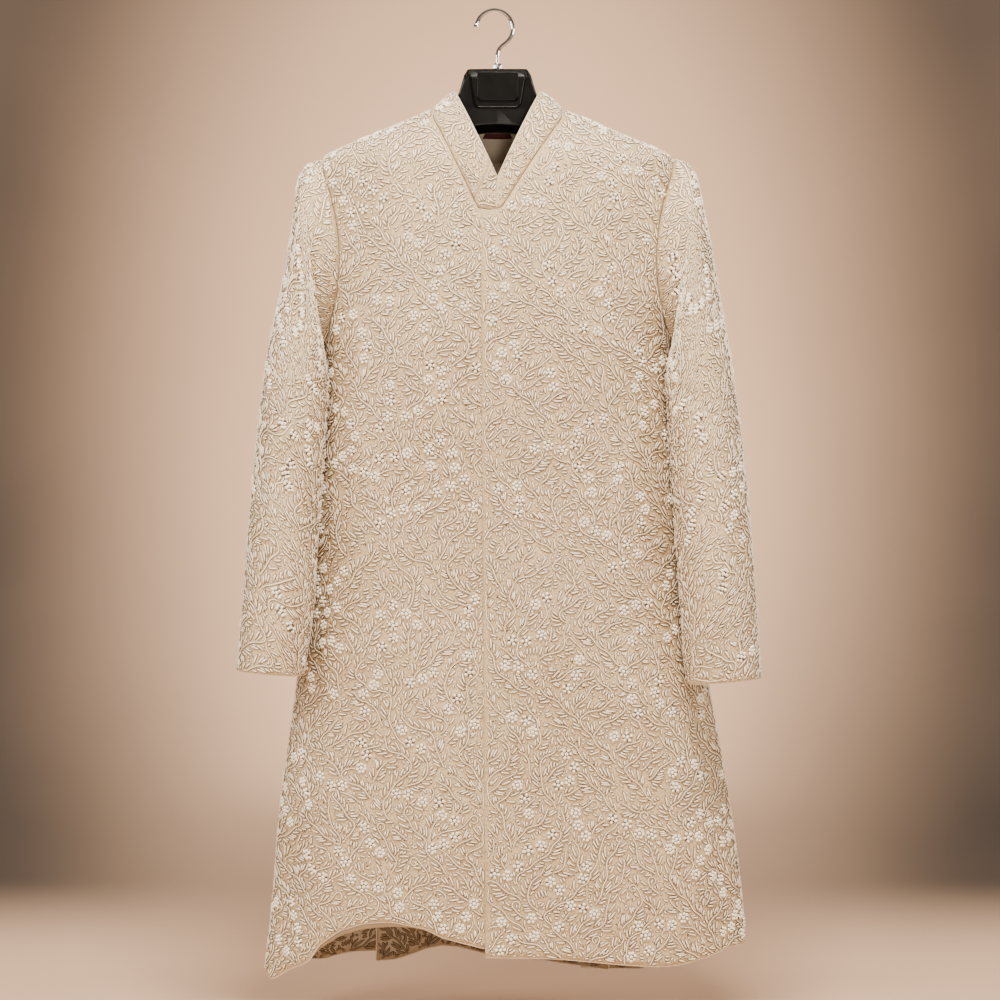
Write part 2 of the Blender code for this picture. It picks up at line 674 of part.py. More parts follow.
def make_sleeve(side, sign, table):
    count = SLEEVE_SIDES
    angles = np.linspace(0, 2 * math.pi, count, endpoint=False)
    rings = sleeve_rings(table, sign, angles)
    closed = np.concatenate([rings[:, -1:], rings, rings[:, :1]], axis=1)
    middles = closed.mean(axis=1, keepdims=True)
    normals = grid_normals(closed, closed - middles)[:, 1:-1]
    body = armhole_point(angles, sign, 0.0, SEAM) - armhole_point(angles, sign, 0.001, SEAM)
    body /= np.linalg.norm(body, axis=-1, keepdims=True)
    share = np.clip((np.cos(angles) + 0.75) / 0.5, 0, 1)[:, None]
    first = normals[0] * (1 - share) + body * share
    normals[0] = first / np.linalg.norm(first, axis=-1, keepdims=True)
    inner = rings - normals * CLOTH

    def strip(grid, start, end):
        """Columns between two turns, cut a little short at each seam."""
        first = start / 360 * count
        last = end / 360 * count
        width = np.linalg.norm(grid[-1, 0] - grid[-1, 1])
        cut = SEAM / width
        stops = [first + cut] + [k for k in range(math.ceil(first + 0.3), math.floor(last - 0.3) + 1)]
        stops += [last - cut]
        cut_columns = []
        for stop in stops:
            low = math.floor(stop)
            share = stop - low
            cut_columns.append(grid[:, low % count] * (1 - share) + grid[:, (low + 1) % count] * share)
        return np.stack(cut_columns, axis=1)

    under = (SLEEVE_FRONT_SEAM, SLEEVE_BACK_SEAM)
    upper = (SLEEVE_BACK_SEAM - 360, SLEEVE_FRONT_SEAM)
    for name, (start, end) in (("upper", upper), ("under", under)):
        wall = wall_mesh(strip(rings, start, end), strip(inner, start, end))
        add_object("sleeve_" + side + "_" + name, *wall, "ivory_brocade")


def collar_foot(side):
    """The collar seam of one half, from the front end to the middle of the back."""
    sign = 1.0 if side == "right" else -1.0
    hem = HEM_RIGHT_FRONT if side == "right" else HEM_LEFT_FRONT
    levels = list(np.linspace(-0.2431, NECK_LEVEL, 16))
    turns = [turn_at(sign * neck_across(level, side), level) for level in levels]
    back = list(np.linspace(abs(turns[-1]), math.pi, 14))[1:]
    levels += [NECK_LEVEL] * len(back)
    turns += [sign * turn for turn in back]
    if side == "right":
        levels = [-0.2450] + levels
        turns = [turn_at(-0.0025, -0.2450)] + turns
    else:
        levels = [-0.2468] + levels
        turns = [turn_at(0.0010, -0.2468)] + turns
    turns = np.array(turns)
    levels = np.array(levels)
    points = cloth_point(turns, levels, 0.0, hem)
    normals = ring_normal(turns, levels, hem)
    tangents = np.gradient(points, axis=0)
    away = np.cross(tangents, normals) * sign
    away /= np.linalg.norm(away, axis=-1, keepdims=True)
    middle = np.array([0.0, 0.0, -0.10])
    away *= np.sign(np.sum(away * (middle - points), axis=-1, keepdims=True))
    return points + away * COLLAR_SEAM


def collar_top(side, count):
    """The upper edge of one half of the collar, from the front end to the back."""
    sign = 1.0 if side == "right" else -1.0
    turn = np.linspace(0, math.pi, count)
    x = COLLAR_HALF_WIDTH * np.sin(turn)
    y = np.where(turn < math.pi / 2, COLLAR_FRONT_Y, -COLLAR_BACK_Y) * np.cos(turn)
    rise = np.where(turn < math.pi / 2, COLLAR_FRONT_Z + (COLLAR_SIDE_Z - COLLAR_FRONT_Z) * np.sin(turn),
                    COLLAR_BACK_Z + (COLLAR_SIDE_Z - COLLAR_BACK_Z) * np.sin(turn))
    points = np.stack([sign * x, y, rise], axis=-1)
    past, drop = COLLAR_ENDS[side]
    points[0] = (-sign * past, COLLAR_FRONT_Y, COLLAR_FRONT_Z - drop)
    return points


def resample(points, stations):
    steps = np.linalg.norm(np.diff(points, axis=0), axis=1)
    length = np.concatenate([[0.0], np.cumsum(steps)])
    at = np.asarray(stations) * length[-1]
    return np.stack([np.interp(at, length, points[:, k]) for k in range(3)], axis=-1), length[-1]


def collar_half(side, count):
    stations = np.linspace(0, 1, count)
    foot, length = resample(collar_foot(side), stations)
    top = resample(collar_top(side, 60), stations)[0]
    rows = []
    outward = (foot + top) / 2 - np.array([0.0, -0.01, -0.13])
    outward[:, 2] *= 0.3
    outward /= np.linalg.norm(outward, axis=-1, keepdims=True)
    for share in np.linspace(0, 1, COLLAR_ROWS):
        bulge = COLLAR_BULGE * 4 * share * (1 - share)
        rows.append(foot * (1 - share) + top * share + outward * bulge)
    return np.array(rows), length


def make_collar():
    count = COLLAR_STATIONS
    right = collar_half("right", count)[0]
    left, left_length = collar_half("left", count)
    stations = np.linspace(0, left_length, count)
    whole = np.concatenate([left, right[:, ::-1][:, 1:]], axis=1)
    outward = whole - np.array(COLLAR_MIDDLE)
    outward[..., 2] = 0.0
    normals = grid_normals(whole, outward)
    sink = np.zeros(whole.shape[1])
    sink[:count] = COLLAR_CROSSING * ease(1.55 - stations / 0.030)
    whole = whole + np.array([0.0, 1.0, 0.0]) * sink[None, :, None]
    inner = whole - normals * COLLAR_CLOTH
    join = int(np.argmin(np.abs(stations - COLLAR_LEFT_JOIN)))

    def trimmed(grid, start, end, cut_start, cut_end):
        part = grid[:, start:end + 1].copy()
        if cut_start:
            step = part[:, 1] - part[:, 0]
            part[:, 0] += step / np.linalg.norm(step, axis=-1, keepdims=True) * SEAM / 2
        if cut_end:
            step = part[:, -2] - part[:, -1]
            part[:, -1] += step / np.linalg.norm(step, axis=-1, keepdims=True) * SEAM / 2
        return part

    last = whole.shape[1] - 1
    band = wall_mesh(trimmed(whole, join, last, True, False), trimmed(inner, join, last, True, False))
    add_object("collar", *band, "ivory_brocade")
    end = wall_mesh(trimmed(whole, 0, join, False, True), trimmed(inner, 0, join, False, True))
    add_object("collar_end", *end, "ivory_brocade")


def make_facing(lining_side, inward):
    """Plain facing behind the left front, which shows below its raised hem."""
    across = lining_side[-1, :, 0]
    kept = (across > FACING[0][0]) & (across < FACING[-1][0])
    hem = lining_side[-1][kept]
    above = lining_side[-2][kept]
    inward = inward[-1][kept]
    shows = straight_read(across[kept], column(FACING, FACING_COLUMNS, "across"),
                          column(FACING, FACING_COLUMNS, "shows"))
    drop = np.stack([0 * shows, 0 * shows, -shows], axis=-1)
    outer = np.array([hem + (above - hem) * FACING_SHARE, hem, hem + drop]) + inward * LINING_GAP
    add_object("hem_facing", *wall_mesh(outer, outer + inward * LINING), "beige_lining")


def make_lining():
    """Lining and label inside the back of the neck."""
    rows = [LINING_TOP] + [level for level in body_rows(NECK_LEVEL)
                           if LINING_BOTTOM < level < LINING_TOP - 0.002]
    turns, levels = middle_grid(rows)
    turns, levels = turns[:, 4:13], levels[:, 4:13]
    outer = cloth_point(turns, levels, CLOTH + LINING_GAP, HEM_BACK_MIDDLE)
    inner = cloth_point(turns, levels, CLOTH + LINING_GAP + LINING, HEM_BACK_MIDDLE)
    add_object("neck_lining", *wall_mesh(outer, inner), "beige_lining")
    levels = np.array([LINING_TOP, (LINING_TOP + LABEL_BOTTOM) / 2, LABEL_BOTTOM])
    turns = np.array([turn_at(x, LABEL_BOTTOM, facing_back=True)
                      for x in np.linspace(LABEL_WIDTH / 2, -LABEL_WIDTH / 2, 7)])
    turns = np.where(turns < 0, turns + 2 * math.pi, turns)
    turn_grid, level_grid = np.meshgrid(turns, levels)
    depth = CLOTH + 2 * LINING_GAP + LINING
    outer = cloth_point(turn_grid, level_grid, depth, HEM_BACK_MIDDLE)
    inner = cloth_point(turn_grid, level_grid, depth + LABEL, HEM_BACK_MIDDLE)
    add_object("neck_label", *wall_mesh(outer, inner), "red_label")


def cloth_underside(x, y):
    """Height of the underside of the shoulder above a point."""
    levels = np.linspace(NECK_LEVEL, ARM_TOP - 0.05, 400)
    half_width = body_side_reach(np.full(levels.shape, y), levels)
    over = np.nonzero(half_width >= abs(x))[0]
    level = levels[over[0]] if len(over) else levels[-1]
    forward = -y / body_value("back", level)
    aside = x / body_value("half_width", level)
    dip = neck_dip(forward / math.hypot(forward, aside), level)
    return float(level - dip - CLOTH * 1.15 - SHOULDER_REST)


def bar_section(x, top, bottom, half_depth):
    """Upright rounded section of the hanger, its arms shaped to the shoulders."""
    rim = []
    count = 14
    for k in range(count):
        angle = 2 * math.pi * (k + 0.5) / count
        c, s = math.cos(angle), math.sin(angle)
        reach = (abs(c)**5 + abs(s)**5)**(-1 / 5)
        y = half_depth * c * reach
        z = (top + bottom) / 2 + (top - bottom) / 2 * s * reach
        if abs(x) > ARM_STARTS:
            z = min(z, cloth_underside(x, y))
        rim.append((x, y, z))
    return np.array(rim)


def make_hanger():
    sections = [bar_section(-row[0], *row[1:]) for row in BAR[::-1]]
    sections += [bar_section(*row) for row in BAR[1:]]
    add_object("hanger_body", *ring_mesh(sections), "black_plastic", smooth=False)

    face = -BAR[0][3]
    outline = []
    corner = BADGE["corner"]
    for x, z, turn in ((BADGE["right"] - corner, BADGE["top"] - corner, 0),
                       (BADGE["left"] + corner, BADGE["top"] - corner, 90),
                       (BADGE["left"] + corner, BADGE["bottom"] + corner, 180),
                       (BADGE["right"] - corner, BADGE["bottom"] + corner, 270)):
        for k in range(5):
            angle = math.radians(turn + 22.5 * k)
            outline.append((x + corner * math.cos(angle), z + corner * math.sin(angle)))
    sections = []
    for y, shrink in ((face - SEAM, 1.0), (face - SEAM - BADGE["thickness"] * 0.6, 1.0),
                      (face - SEAM - BADGE["thickness"], 0.955)):
        middle_z = (BADGE["top"] + BADGE["bottom"]) / 2
        rim = [(x * shrink, y, middle_z + (z - middle_z) * shrink) for x, z in outline]
        sections.append(np.array(rim))
    add_object("hanger_badge", *ring_mesh(sections), "black_plastic", smooth=False)

    path = np.array(RIDGE)
    tangents = np.gradient(path, axis=0)
    tangents /= np.linalg.norm(tangents, axis=-1, keepdims=True)
    aside = np.stack([-tangents[:, 1], tangents[:, 0]], axis=-1) * RIDGE_WIDTH / 2
    sections = []
    for point, off in zip(path, aside):
        low = face - SEAM
        high = face - SEAM - RIDGE_RAISED
        a, b = point - off, point + off
        c, d = point - off * 0.5, point + off * 0.5
        rim = [(a[0], low, a[1]), (b[0], low, b[1]), (d[0], high, d[1]), (c[0], high, c[1])]
        sections.append(np.array(rim))
    add_object("hanger_ridge", *ring_mesh(sections), "black_plastic", smooth=False)


def tube(path, radii, sides=10):
    """Round wire along a path that stays in the plane of the hanger."""
    path = np.asarray(path, float)
    tangents = np.gradient(path, axis=0)
    tangents /= np.linalg.norm(tangents, axis=-1, keepdims=True)
    sections = []
    for point, tangent, radius in zip(path, tangents, radii):
        aside = np.array([-tangent[2], 0.0, tangent[0]])
        ring = []
        for k in range(sides):
            angle = 2 * math.pi * k / sides
            spoke = math.cos(angle) * aside + math.sin(angle) * np.array([0.0, 1.0, 0.0])
            ring.append(point + radius * spoke)
        sections.append(np.array(ring))
    return ring_mesh(sections)


def make_hook():
    centre = np.array([-HOOK_SIDE, 0.0, WIRE_RADIUS - BOW_RADIUS])
    path = []
    radii = []
    tip = math.radians(BOW_START)
    for turn, radius in ((0.20, 0.4), (0.185, 0.75), (0.15, 1.0), (0.09, 1.0), (0.05, 0.80)):
        path.append(centre + BOW_RADIUS * np.array([math.cos(tip + turn), 0, math.sin(tip + turn)]))
        radii.append(TIP_RADIUS * radius)
    for angle in np.linspace(BOW_START, BOW_END, 27):
        a = math.radians(angle)
        path.append(centre + BOW_RADIUS * np.array([math.cos(a), 0, math.sin(a)]))
        radii.append(WIRE_RADIUS)
    for x, z in ((0.0060, -0.0402), (0.0027, -0.0433), (0.0008, -0.0468), (0.0, STEM_TOP), (0.0, STEM_FOOT)):
        path.append(np.array([x, 0.0, z]))
        radii.append(WIRE_RADIUS)
    add_object("hook", *tube(path, radii), "bright_steel")

    profile = ((FERRULE_FOOT, 1.0), (FERRULE_FOOT + 0.0045, 1.0), (FERRULE_FOOT + 0.0058, 0.82),
               (STEM_FOOT - SEAM, 0.60))
    sections = []
    for z, share in profile:
        ring = []
        for k in range(16):
            angle = 2 * math.pi * k / 16
            radius = FERRULE_RADIUS * share
            ring.append((radius * math.cos(angle), radius * math.sin(angle), z))
        sections.append(np.array(ring))
    add_object("hook_ferrule", *ring_mesh(sections), "bright_steel")


def main():
    for thing in list(bpy.data.objects):
        bpy.data.objects.remove(thing, do_unlink=True)
    make_fronts()
    make_back()
    make_sleeve("left", -1.0, LEFT_SLEEVE)
    make_sleeve("right", 1.0, RIGHT_SLEEVE)
    make_collar()
    make_lining()
    make_hanger()
    make_hook()


main()
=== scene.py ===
import math
import random

import bmesh
import bpy
import numpy as np
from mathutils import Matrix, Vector


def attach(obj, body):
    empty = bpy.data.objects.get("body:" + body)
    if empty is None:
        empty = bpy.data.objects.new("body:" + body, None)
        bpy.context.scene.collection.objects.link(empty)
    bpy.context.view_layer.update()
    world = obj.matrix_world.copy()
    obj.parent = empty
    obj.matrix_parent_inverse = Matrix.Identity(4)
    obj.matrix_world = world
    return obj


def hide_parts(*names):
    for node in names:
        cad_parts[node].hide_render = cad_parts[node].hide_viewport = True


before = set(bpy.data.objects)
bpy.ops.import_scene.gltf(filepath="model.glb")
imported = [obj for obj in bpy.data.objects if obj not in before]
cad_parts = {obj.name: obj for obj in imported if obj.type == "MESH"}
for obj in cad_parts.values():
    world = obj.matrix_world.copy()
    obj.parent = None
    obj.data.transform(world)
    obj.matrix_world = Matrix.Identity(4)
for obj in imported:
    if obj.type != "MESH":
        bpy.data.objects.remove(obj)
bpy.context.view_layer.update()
print("frame loaded,", len(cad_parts), "nodes")

# Rings of the coat from the neck down: level, half width, depth of the front and
# back, middle and squareness. A turn of 0 degrees is the middle of the front.
bodyForm = {
    "columns": ("level", "halfWidth", "front", "back", "middle", "square"),
    "rings": [
        (-0.119, 0.0785, 0.058, 0.060, 0.0005, 2.2),
        (-0.131, 0.1070, 0.064, 0.065, 0.0005, 2.2),
        (-0.148, 0.1470, 0.071, 0.070, 0.0005, 2.2),
        (-0.163, 0.1830, 0.077, 0.075, 0.0005, 2.3),
        (-0.172, 0.2025, 0.081, 0.079, 0.0005, 2.3),
        (-0.178, 0.2085, 0.084, 0.081, 0.0005, 2.3),
        (-0.192, 0.2125, 0.088, 0.085, 0.0005, 2.3),
        (-0.222, 0.2135, 0.094, 0.090, 0.0005, 2.3),
        (-0.290, 0.2125, 0.102, 0.096, 0.0005, 2.3),
        (-0.350, 0.2090, 0.106, 0.098, 0.0005, 2.3),
        (-0.405, 0.2065, 0.108, 0.098, 0.0005, 2.3),
        (-0.510, 0.2105, 0.106, 0.095, 0.0010, 2.3),
        (-0.600, 0.2190, 0.104, 0.093, 0.0020, 2.3),
        (-0.700, 0.2290, 0.104, 0.094, 0.0035, 2.3),
        (-0.820, 0.2480, 0.106, 0.096, 0.0064, 2.3),
        (-0.950, 0.2684, 0.108, 0.098, 0.0086, 2.3),
        (-1.060, 0.2803, 0.110, 0.100, 0.0105, 2.3),
        (-1.130, 0.2872, 0.111, 0.101, 0.0090, 2.3),
    ],
    # turn at the top and at the hem, top level, spread in degrees, height
    "folds": [
        (-63.0, -66.0, -0.38, 9.0, -0.0045),
        (-47.0, -47.0, -0.36, 10.0, 0.0045),
        (-35.0, -30.0, -0.42, 9.0, -0.0040),
        (-14.0, -12.0, -0.70, 10.0, 0.0030),
        (62.0, 64.0, -0.36, 9.0, -0.0045),
        (46.0, 50.0, -0.55, 12.0, 0.0035),
        (22.0, 20.0, -0.80, 12.0, -0.0020),
        (128.0, 124.0, -0.30, 12.0, 0.0045),
        (152.0, 156.0, -0.60, 10.0, -0.0040),
        (-126.0, -122.0, -0.30, 12.0, 0.0045),
        (-150.0, -154.0, -0.55, 11.0, -0.0045),
        (180.0, 178.0, -0.75, 12.0, 0.0035),
    ],
    # turn and level of each end, spread in metres, height
    "creases": [
        (-34.0, -0.165, -26.0, -0.215, 0.014, -0.0016),
        (-58.0, -0.180, -42.0, -0.300, 0.012, -0.0012),
        (33.0, -0.160, 24.0, -0.225, 0.015, -0.0018),
        (56.0, -0.185, 44.0, -0.270, 0.013, -0.0011),
        (-57.0, -0.400, -44.0, -0.520, 0.010, -0.0015),
        (-52.0, -0.440, -36.0, -0.640, 0.011, 0.0012),
        (57.0, -0.400, 45.0, -0.500, 0.010, -0.0013),
        (52.0, -0.450, 38.0, -0.610, 0.012, 0.0011),
        (-28.0, -0.560, -23.0, -0.900, 0.010, -0.0009),
        (-40.0, -0.760, -39.0, -1.090, 0.009, 0.0010),
        (14.0, -0.620, 12.0, -0.950, 0.012, 0.0008),
        (33.0, -0.720, 36.0, -1.100, 0.010, -0.0009),
        (73.0, -0.700, 76.0, -1.060, 0.009, -0.0011),
        (-74.0, -0.690, -78.0, -1.020, 0.009, -0.0011),
        (118.0, -0.420, 133.0, -0.560, 0.012, -0.0015),
        (140.0, -0.330, 152.0, -0.520, 0.012, 0.0012),
        (166.0, -0.500, 168.0, -0.860, 0.012, -0.0012),
        (-118.0, -0.430, -134.0, -0.580, 0.012, -0.0014),
        (-142.0, -0.340, -151.0, -0.500, 0.013, 0.0011),
        (-167.0, -0.560, -165.0, -0.930, 0.012, -0.0011),
        (148.0, -0.170, 160.0, -0.250, 0.015, -0.0014),
        (-146.0, -0.170, -158.0, -0.260, 0.015, -0.0015),
    ],
    "hookSide": 0.0036,
    "cloth": 0.0022,
    "backNeckDip": 0.016,
    "hemStarts": -0.72,
    "armTop": -0.178,
    "armBottom": -0.405,
    "armFrontTurn": 31.5,
    "armBackTurn": 27.0,
    "seam": 0.0003,
    "underlap": 0.0036,
    "ventTop": -0.69,
    "seamLap": 0.008,
    "ventLap": 0.035,
}

edgeForm = {
    # collar seam on each front: level, distance from the middle on the right and left
    "neck": [(-0.1190, 0.0775, 0.0775), (-0.1225, 0.0773, 0.0773), (-0.1306, 0.0768, 0.0768),
             (-0.1500, 0.0650, 0.0675), (-0.1800, 0.0451, 0.0531), (-0.2100, 0.0258, 0.0387),
             (-0.2431, 0.0050, 0.0228)],
    # front edges below it: level, right front, left front
    "front": [(-0.2431, 0.0050, -0.0228), (-0.2450, -0.0040, -0.0100), (-0.2468, -0.0140, 0.0020),
              (-0.2520, -0.0190, 0.0180), (-0.3000, -0.0192, 0.0450), (-0.7000, -0.0166, 0.0500),
              (-1.1300, -0.0140, 0.0500)],
    # seams of the back: level, left, right
    "back": [(-0.300, -0.1900, 0.1900), (-0.350, -0.1700, 0.1700), (-0.420, -0.1480, 0.1470),
             (-0.550, -0.1350, 0.1320), (-0.700, -0.1400, 0.1330), (-0.900, -0.1470, 0.1350),
             (-1.130, -0.1497, 0.1371)],
    "neckEnd": -0.2431,
}

hemForm = {                                # height of each hem across the coat
    "frontLeft": [
        (-0.2800, -1.1450), (-0.2720, -1.1560), (-0.2565, -1.1450), (-0.2430, -1.1380),
        (-0.2300, -1.1330), (-0.2200, -1.1270), (-0.2080, -1.1080), (-0.1860, -1.0910),
        (-0.1630, -1.0830), (-0.1440, -1.0803), (-0.1220, -1.0797), (-0.1030, -1.0827),
        (-0.0840, -1.0862), (-0.0660, -1.0953), (-0.0470, -1.1004), (-0.0160, -1.1090),
        (0.0600, -1.1120)],
    "frontRight": [
        (-0.0140, -1.1190), (0.0415, -1.1201), (0.0747, -1.1215), (0.1105, -1.1253),
        (0.1483, -1.1293), (0.1870, -1.1324), (0.2128, -1.1312), (0.2283, -1.1274),
        (0.2524, -1.1216), (0.2771, -1.1153), (0.2960, -1.1144)],
    "backMiddle": [
        (-0.1500, -1.1489), (-0.1280, -1.1477), (-0.1084, -1.1422), (-0.0888, -1.1354),
        (-0.0696, -1.1325), (-0.0499, -1.1342), (-0.0302, -1.1391), (-0.0167, -1.1428),
        (0.0436, -1.1496), (0.1371, -1.1604)],
    "backLeft": [
        (-0.2800, -1.1436), (-0.2280, -1.1450), (-0.2120, -1.1458), (-0.1940, -1.1405),
        (-0.1787, -1.1378), (-0.1100, -1.1364)],
    "backRight": [
        (0.1000, -1.1590), (0.1394, -1.1595), (0.1745, -1.1595), (0.2300, -1.1420),
        (0.2960, -1.1150)],
}
neckLevel = bodyForm["rings"][0][0]
hemLevel = bodyForm["rings"][-1][0]


def tableColumn(rows, place):
    return np.array([row[place] for row in rows], float)


def smoothRead(where, stops, values):
    order = np.argsort(stops)
    stops = np.asarray(stops, float)[order]
    values = np.asarray(values, float)[order]
    slopes = np.gradient(values, stops, axis=0)
    where = np.clip(where, stops[0], stops[-1])
    k = np.clip(np.searchsorted(stops, where) - 1, 0, len(stops) - 2)
    span = stops[k + 1] - stops[k]
    s = (where - stops[k]) / span
    extra = (1,) * (values.ndim - 1)
    s, span = s.reshape(s.shape + extra), span.reshape(span.shape + extra)
    return ((2 * s**3 - 3 * s**2 + 1) * values[k] + (s**3 - 2 * s**2 + s) * span * slopes[k]
            + (3 * s**2 - 2 * s**3) * values[k + 1] + (s**3 - s**2) * span * slopes[k + 1])


def straightRead(where, stops, values):
    order = np.argsort(stops)
    return np.interp(where, np.asarray(stops, float)[order], np.asarray(values, float)[order])


def ease(value):
    value = np.clip(value, 0.0, 1.0)
    return value * value * (3.0 - 2.0 * value)


def bodyValue(name, level):
    place = bodyForm["columns"].index(name)
    return smoothRead(np.asarray(level, float), tableColumn(bodyForm["rings"], 0),
                      tableColumn(bodyForm["rings"], place))


def ringPoint(turn, level, hem):
    halfWidth = bodyValue("halfWidth", level)
    square = bodyValue("square", level)
    s, c = np.sin(turn), np.cos(turn)
    reach = (np.abs(s)**square + np.abs(c)**square)**(-1.0 / square)
    depth = np.where(c > 0, bodyValue("front", level), bodyValue("back", level))
    x = bodyValue("middle", level) + halfWidth * s * reach
    y = -depth * c * reach
    dip = bodyForm["backNeckDip"] * np.clip(-c, 0, 1)**2 * ease(1 - (neckLevel - level) / 0.06)
    start = bodyForm["hemStarts"]
    pull = np.clip((start - level) / (start - hemLevel), 0, 1)**2.4
    height = straightRead(x, tableColumn(hemForm[hem], 0), tableColumn(hemForm[hem], 1))
    z = level - dip + (height - hemLevel) * pull
    return np.stack([x, y, z], axis=-1)


def ringNormal(turn, level, hem):
    step = 1e-4
    along = ringPoint(turn + step, level, hem) - ringPoint(turn - step, level, hem)
    down = ringPoint(turn, level - step, hem) - ringPoint(turn, level + step, hem)
    normal = np.cross(down, along)
    return normal / np.linalg.norm(normal, axis=-1, keepdims=True)


def segmentAway(x, y, first, second):      # distance to a line and place along it
    ax, ay = first
    dx, dy = second[0] - ax, second[1] - ay
    along = np.clip(((x - ax) * dx + (y - ay) * dy) / (dx * dx + dy * dy), 0, 1)
    return np.hypot(x - ax - along * dx, y - ay - along * dy), along


def foldHeight(turn, level):
    total = np.zeros(np.broadcast(turn, level).shape)
    degrees = np.degrees(turn)
    for top, foot, start, spread, height in bodyForm["folds"]:
        grown = ease((start - level) / (start - hemLevel) * 1.6)
        middle = top + (foot - top) * np.clip((start - level) / (start - hemLevel), 0, 1)
        away = (degrees - middle + 180.0) % 360.0 - 180.0
        total = total + height * grown * np.exp(-(away / spread)**2)
    radius = 0.20 / 57.3
    for turnA, levelA, turnB, levelB, spread, height in bodyForm["creases"]:
        near = (degrees - turnA + 180.0) % 360.0 - 180.0
        away, along = segmentAway(near * radius, level, (0.0, levelA), ((turnB - turnA) * radius, levelB))
        total = total + height * (0.45 + 0.55 * np.sin(math.pi * along)) * np.exp(-(away / spread)**2)
    return total


def clothPoint(turn, level, depth, hem):
    turn, level = np.broadcast_arrays(np.asarray(turn, float), np.asarray(level, float))
    raised = foldHeight(turn, level) - depth
    return ringPoint(turn, level, hem) + ringNormal(turn, level, hem) * raised[..., None]


def turnAt(across, level, facingBack=False):
    ratio = np.clip((across - bodyValue("middle", level)) / bodyValue("halfWidth", level), -0.9995, 0.9995)
    square = bodyValue("square", level)
    other = (1 - np.abs(ratio)**square)**(1 / square)
    return np.arctan2(ratio, -other if facingBack else other)


def armholeTurn(level, facingBack):
    middle = (bodyForm["armTop"] + bodyForm["armBottom"]) / 2
    half = (bodyForm["armTop"] - bodyForm["armBottom"]) / 2
    inside = np.sqrt(np.clip(1 - ((level - middle) / half)**2, 0, 1))
    return math.radians(bodyForm["armBackTurn" if facingBack else "armFrontTurn"]) * inside


def sideEdge(level, sign, facingBack=False):
    back = armholeTurn(level, facingBack)
    gap = bodyForm["seam"] * (0.4 + 1.0 * (back > 0.01)) / bodyValue("halfWidth", level)
    return sign * (math.pi / 2 + (back + gap if facingBack else -back - gap))


def rightEdge(level):
    neck, front = edgeForm["neck"], edgeForm["front"]
    high = turnAt(smoothRead(level, tableColumn(neck, 0), tableColumn(neck, 1)), level)
    low = turnAt(straightRead(level, tableColumn(front, 0), tableColumn(front, 1)), level)
    return np.where(level > edgeForm["neckEnd"], high, low)


def leftEdge(level):
    neck, front = edgeForm["neck"], edgeForm["front"]
    high = turnAt(-smoothRead(level, tableColumn(neck, 0), tableColumn(neck, 2)), level)
    low = turnAt(straightRead(level, tableColumn(front, 0), tableColumn(front, 2)), level)
    return np.where(level > edgeForm["neckEnd"], high, low)


def leftDepth(turn, level):
    across = ringPoint(turn, level, "frontLeft")[..., 0]
    return bodyForm["underlap"] * ease((across + 0.040) / 0.017)


def backSeam(level, side):
    place = 1 if side == "left" else 2
    across = smoothRead(level, tableColumn(edgeForm["back"], 0), tableColumn(edgeForm["back"], place))
    turn = turnAt(across, level, facingBack=True)
    return turn + 2 * math.pi if side == "left" else turn


def middleEdge(level, side):
    seamTop = edgeForm["back"][0][0]
    edge = sideEdge(level, 1.0, facingBack=True)
    if side == "left":
        edge = 2 * math.pi - edge
    blend = np.where(level > seamTop, 0.0, ease((seamTop - level) / 0.012))
    return edge * (1 - blend) + backSeam(level, side) * blend


def middleDepth(turn, level):
    fromEdge = np.minimum(turn - backSeam(level, "right"), backSeam(level, "left") - turn)
    near = 1 - ease((fromEdge * bodyValue("halfWidth", level) - 0.045) / 0.040)
    return bodyForm["underlap"] * near * ease((edgeForm["back"][0][0] - level) / 0.010 + 0.5)


def lapEdge(level, side):                  # inner edge of a side back, over the middle one
    vent = ease((bodyForm["ventTop"] - level) / 0.03)
    lap = bodyForm["seamLap"] + (bodyForm["ventLap"] - bodyForm["seamLap"]) * vent
    seam = backSeam(level, side)
    if side == "left":
        seam = 2 * math.pi - seam
    edge = seam + lap / bodyValue("halfWidth", level) * ease((-0.312 - level) / 0.05)
    meets = middleEdge(level, side)        # under the armhole it follows the middle back's slant
    meets = 2 * math.pi - meets if side == "left" else meets
    slant = np.minimum(edge, meets + bodyForm["seamLap"] / bodyValue("halfWidth", level))
    return np.where(level > -0.3235, slant, edge)


def shift(points):                         # the hook's bow stands a little beside its stem
    return np.asarray(points, float) + np.array([bodyForm["hookSide"], 0.0, 0.0])


def fineLevels(top, bottom, stops=()):
    shoulder = np.linspace(neckLevel, bodyForm["armTop"], 24)
    middle = (bodyForm["armTop"] + bodyForm["armBottom"]) / 2
    half = (bodyForm["armTop"] - bodyForm["armBottom"]) / 2
    arm = middle + half * np.cos(np.linspace(0, math.pi, 37))
    skirt = np.linspace(bodyForm["armBottom"], hemLevel, 100)
    every = [level for level in np.concatenate([shoulder, arm[1:], skirt[1:]])
             if bottom - 1e-6 < level < top - 0.0015]
    every = [level for level in every if all(abs(level - stop) > 0.0012 for stop in stops)]
    held = [stop for stop in stops if bottom < stop < top - 0.0005]
    return np.array(sorted([top] + every + held, reverse=True))


def evenTurns(start, end, level, count, hem):
    dense = np.linspace(start, end, 6 * count + 1)
    points = ringPoint(dense, np.full(dense.shape, level), hem)
    total = np.concatenate([[0.0], np.cumsum(np.linalg.norm(np.diff(points, axis=0), axis=1))])
    return np.interp(np.linspace(0, total[-1], count + 1), total, dense)


def outwardNormals(grid, outward):
    normal = np.cross(np.gradient(grid, axis=0), np.gradient(grid, axis=1))
    normal /= np.maximum(np.linalg.norm(normal, axis=-1, keepdims=True), 1e-12)
    flip = np.sign(np.sum(normal * outward, axis=-1, keepdims=True))
    return normal * np.where(flip == 0, 1.0, flip)


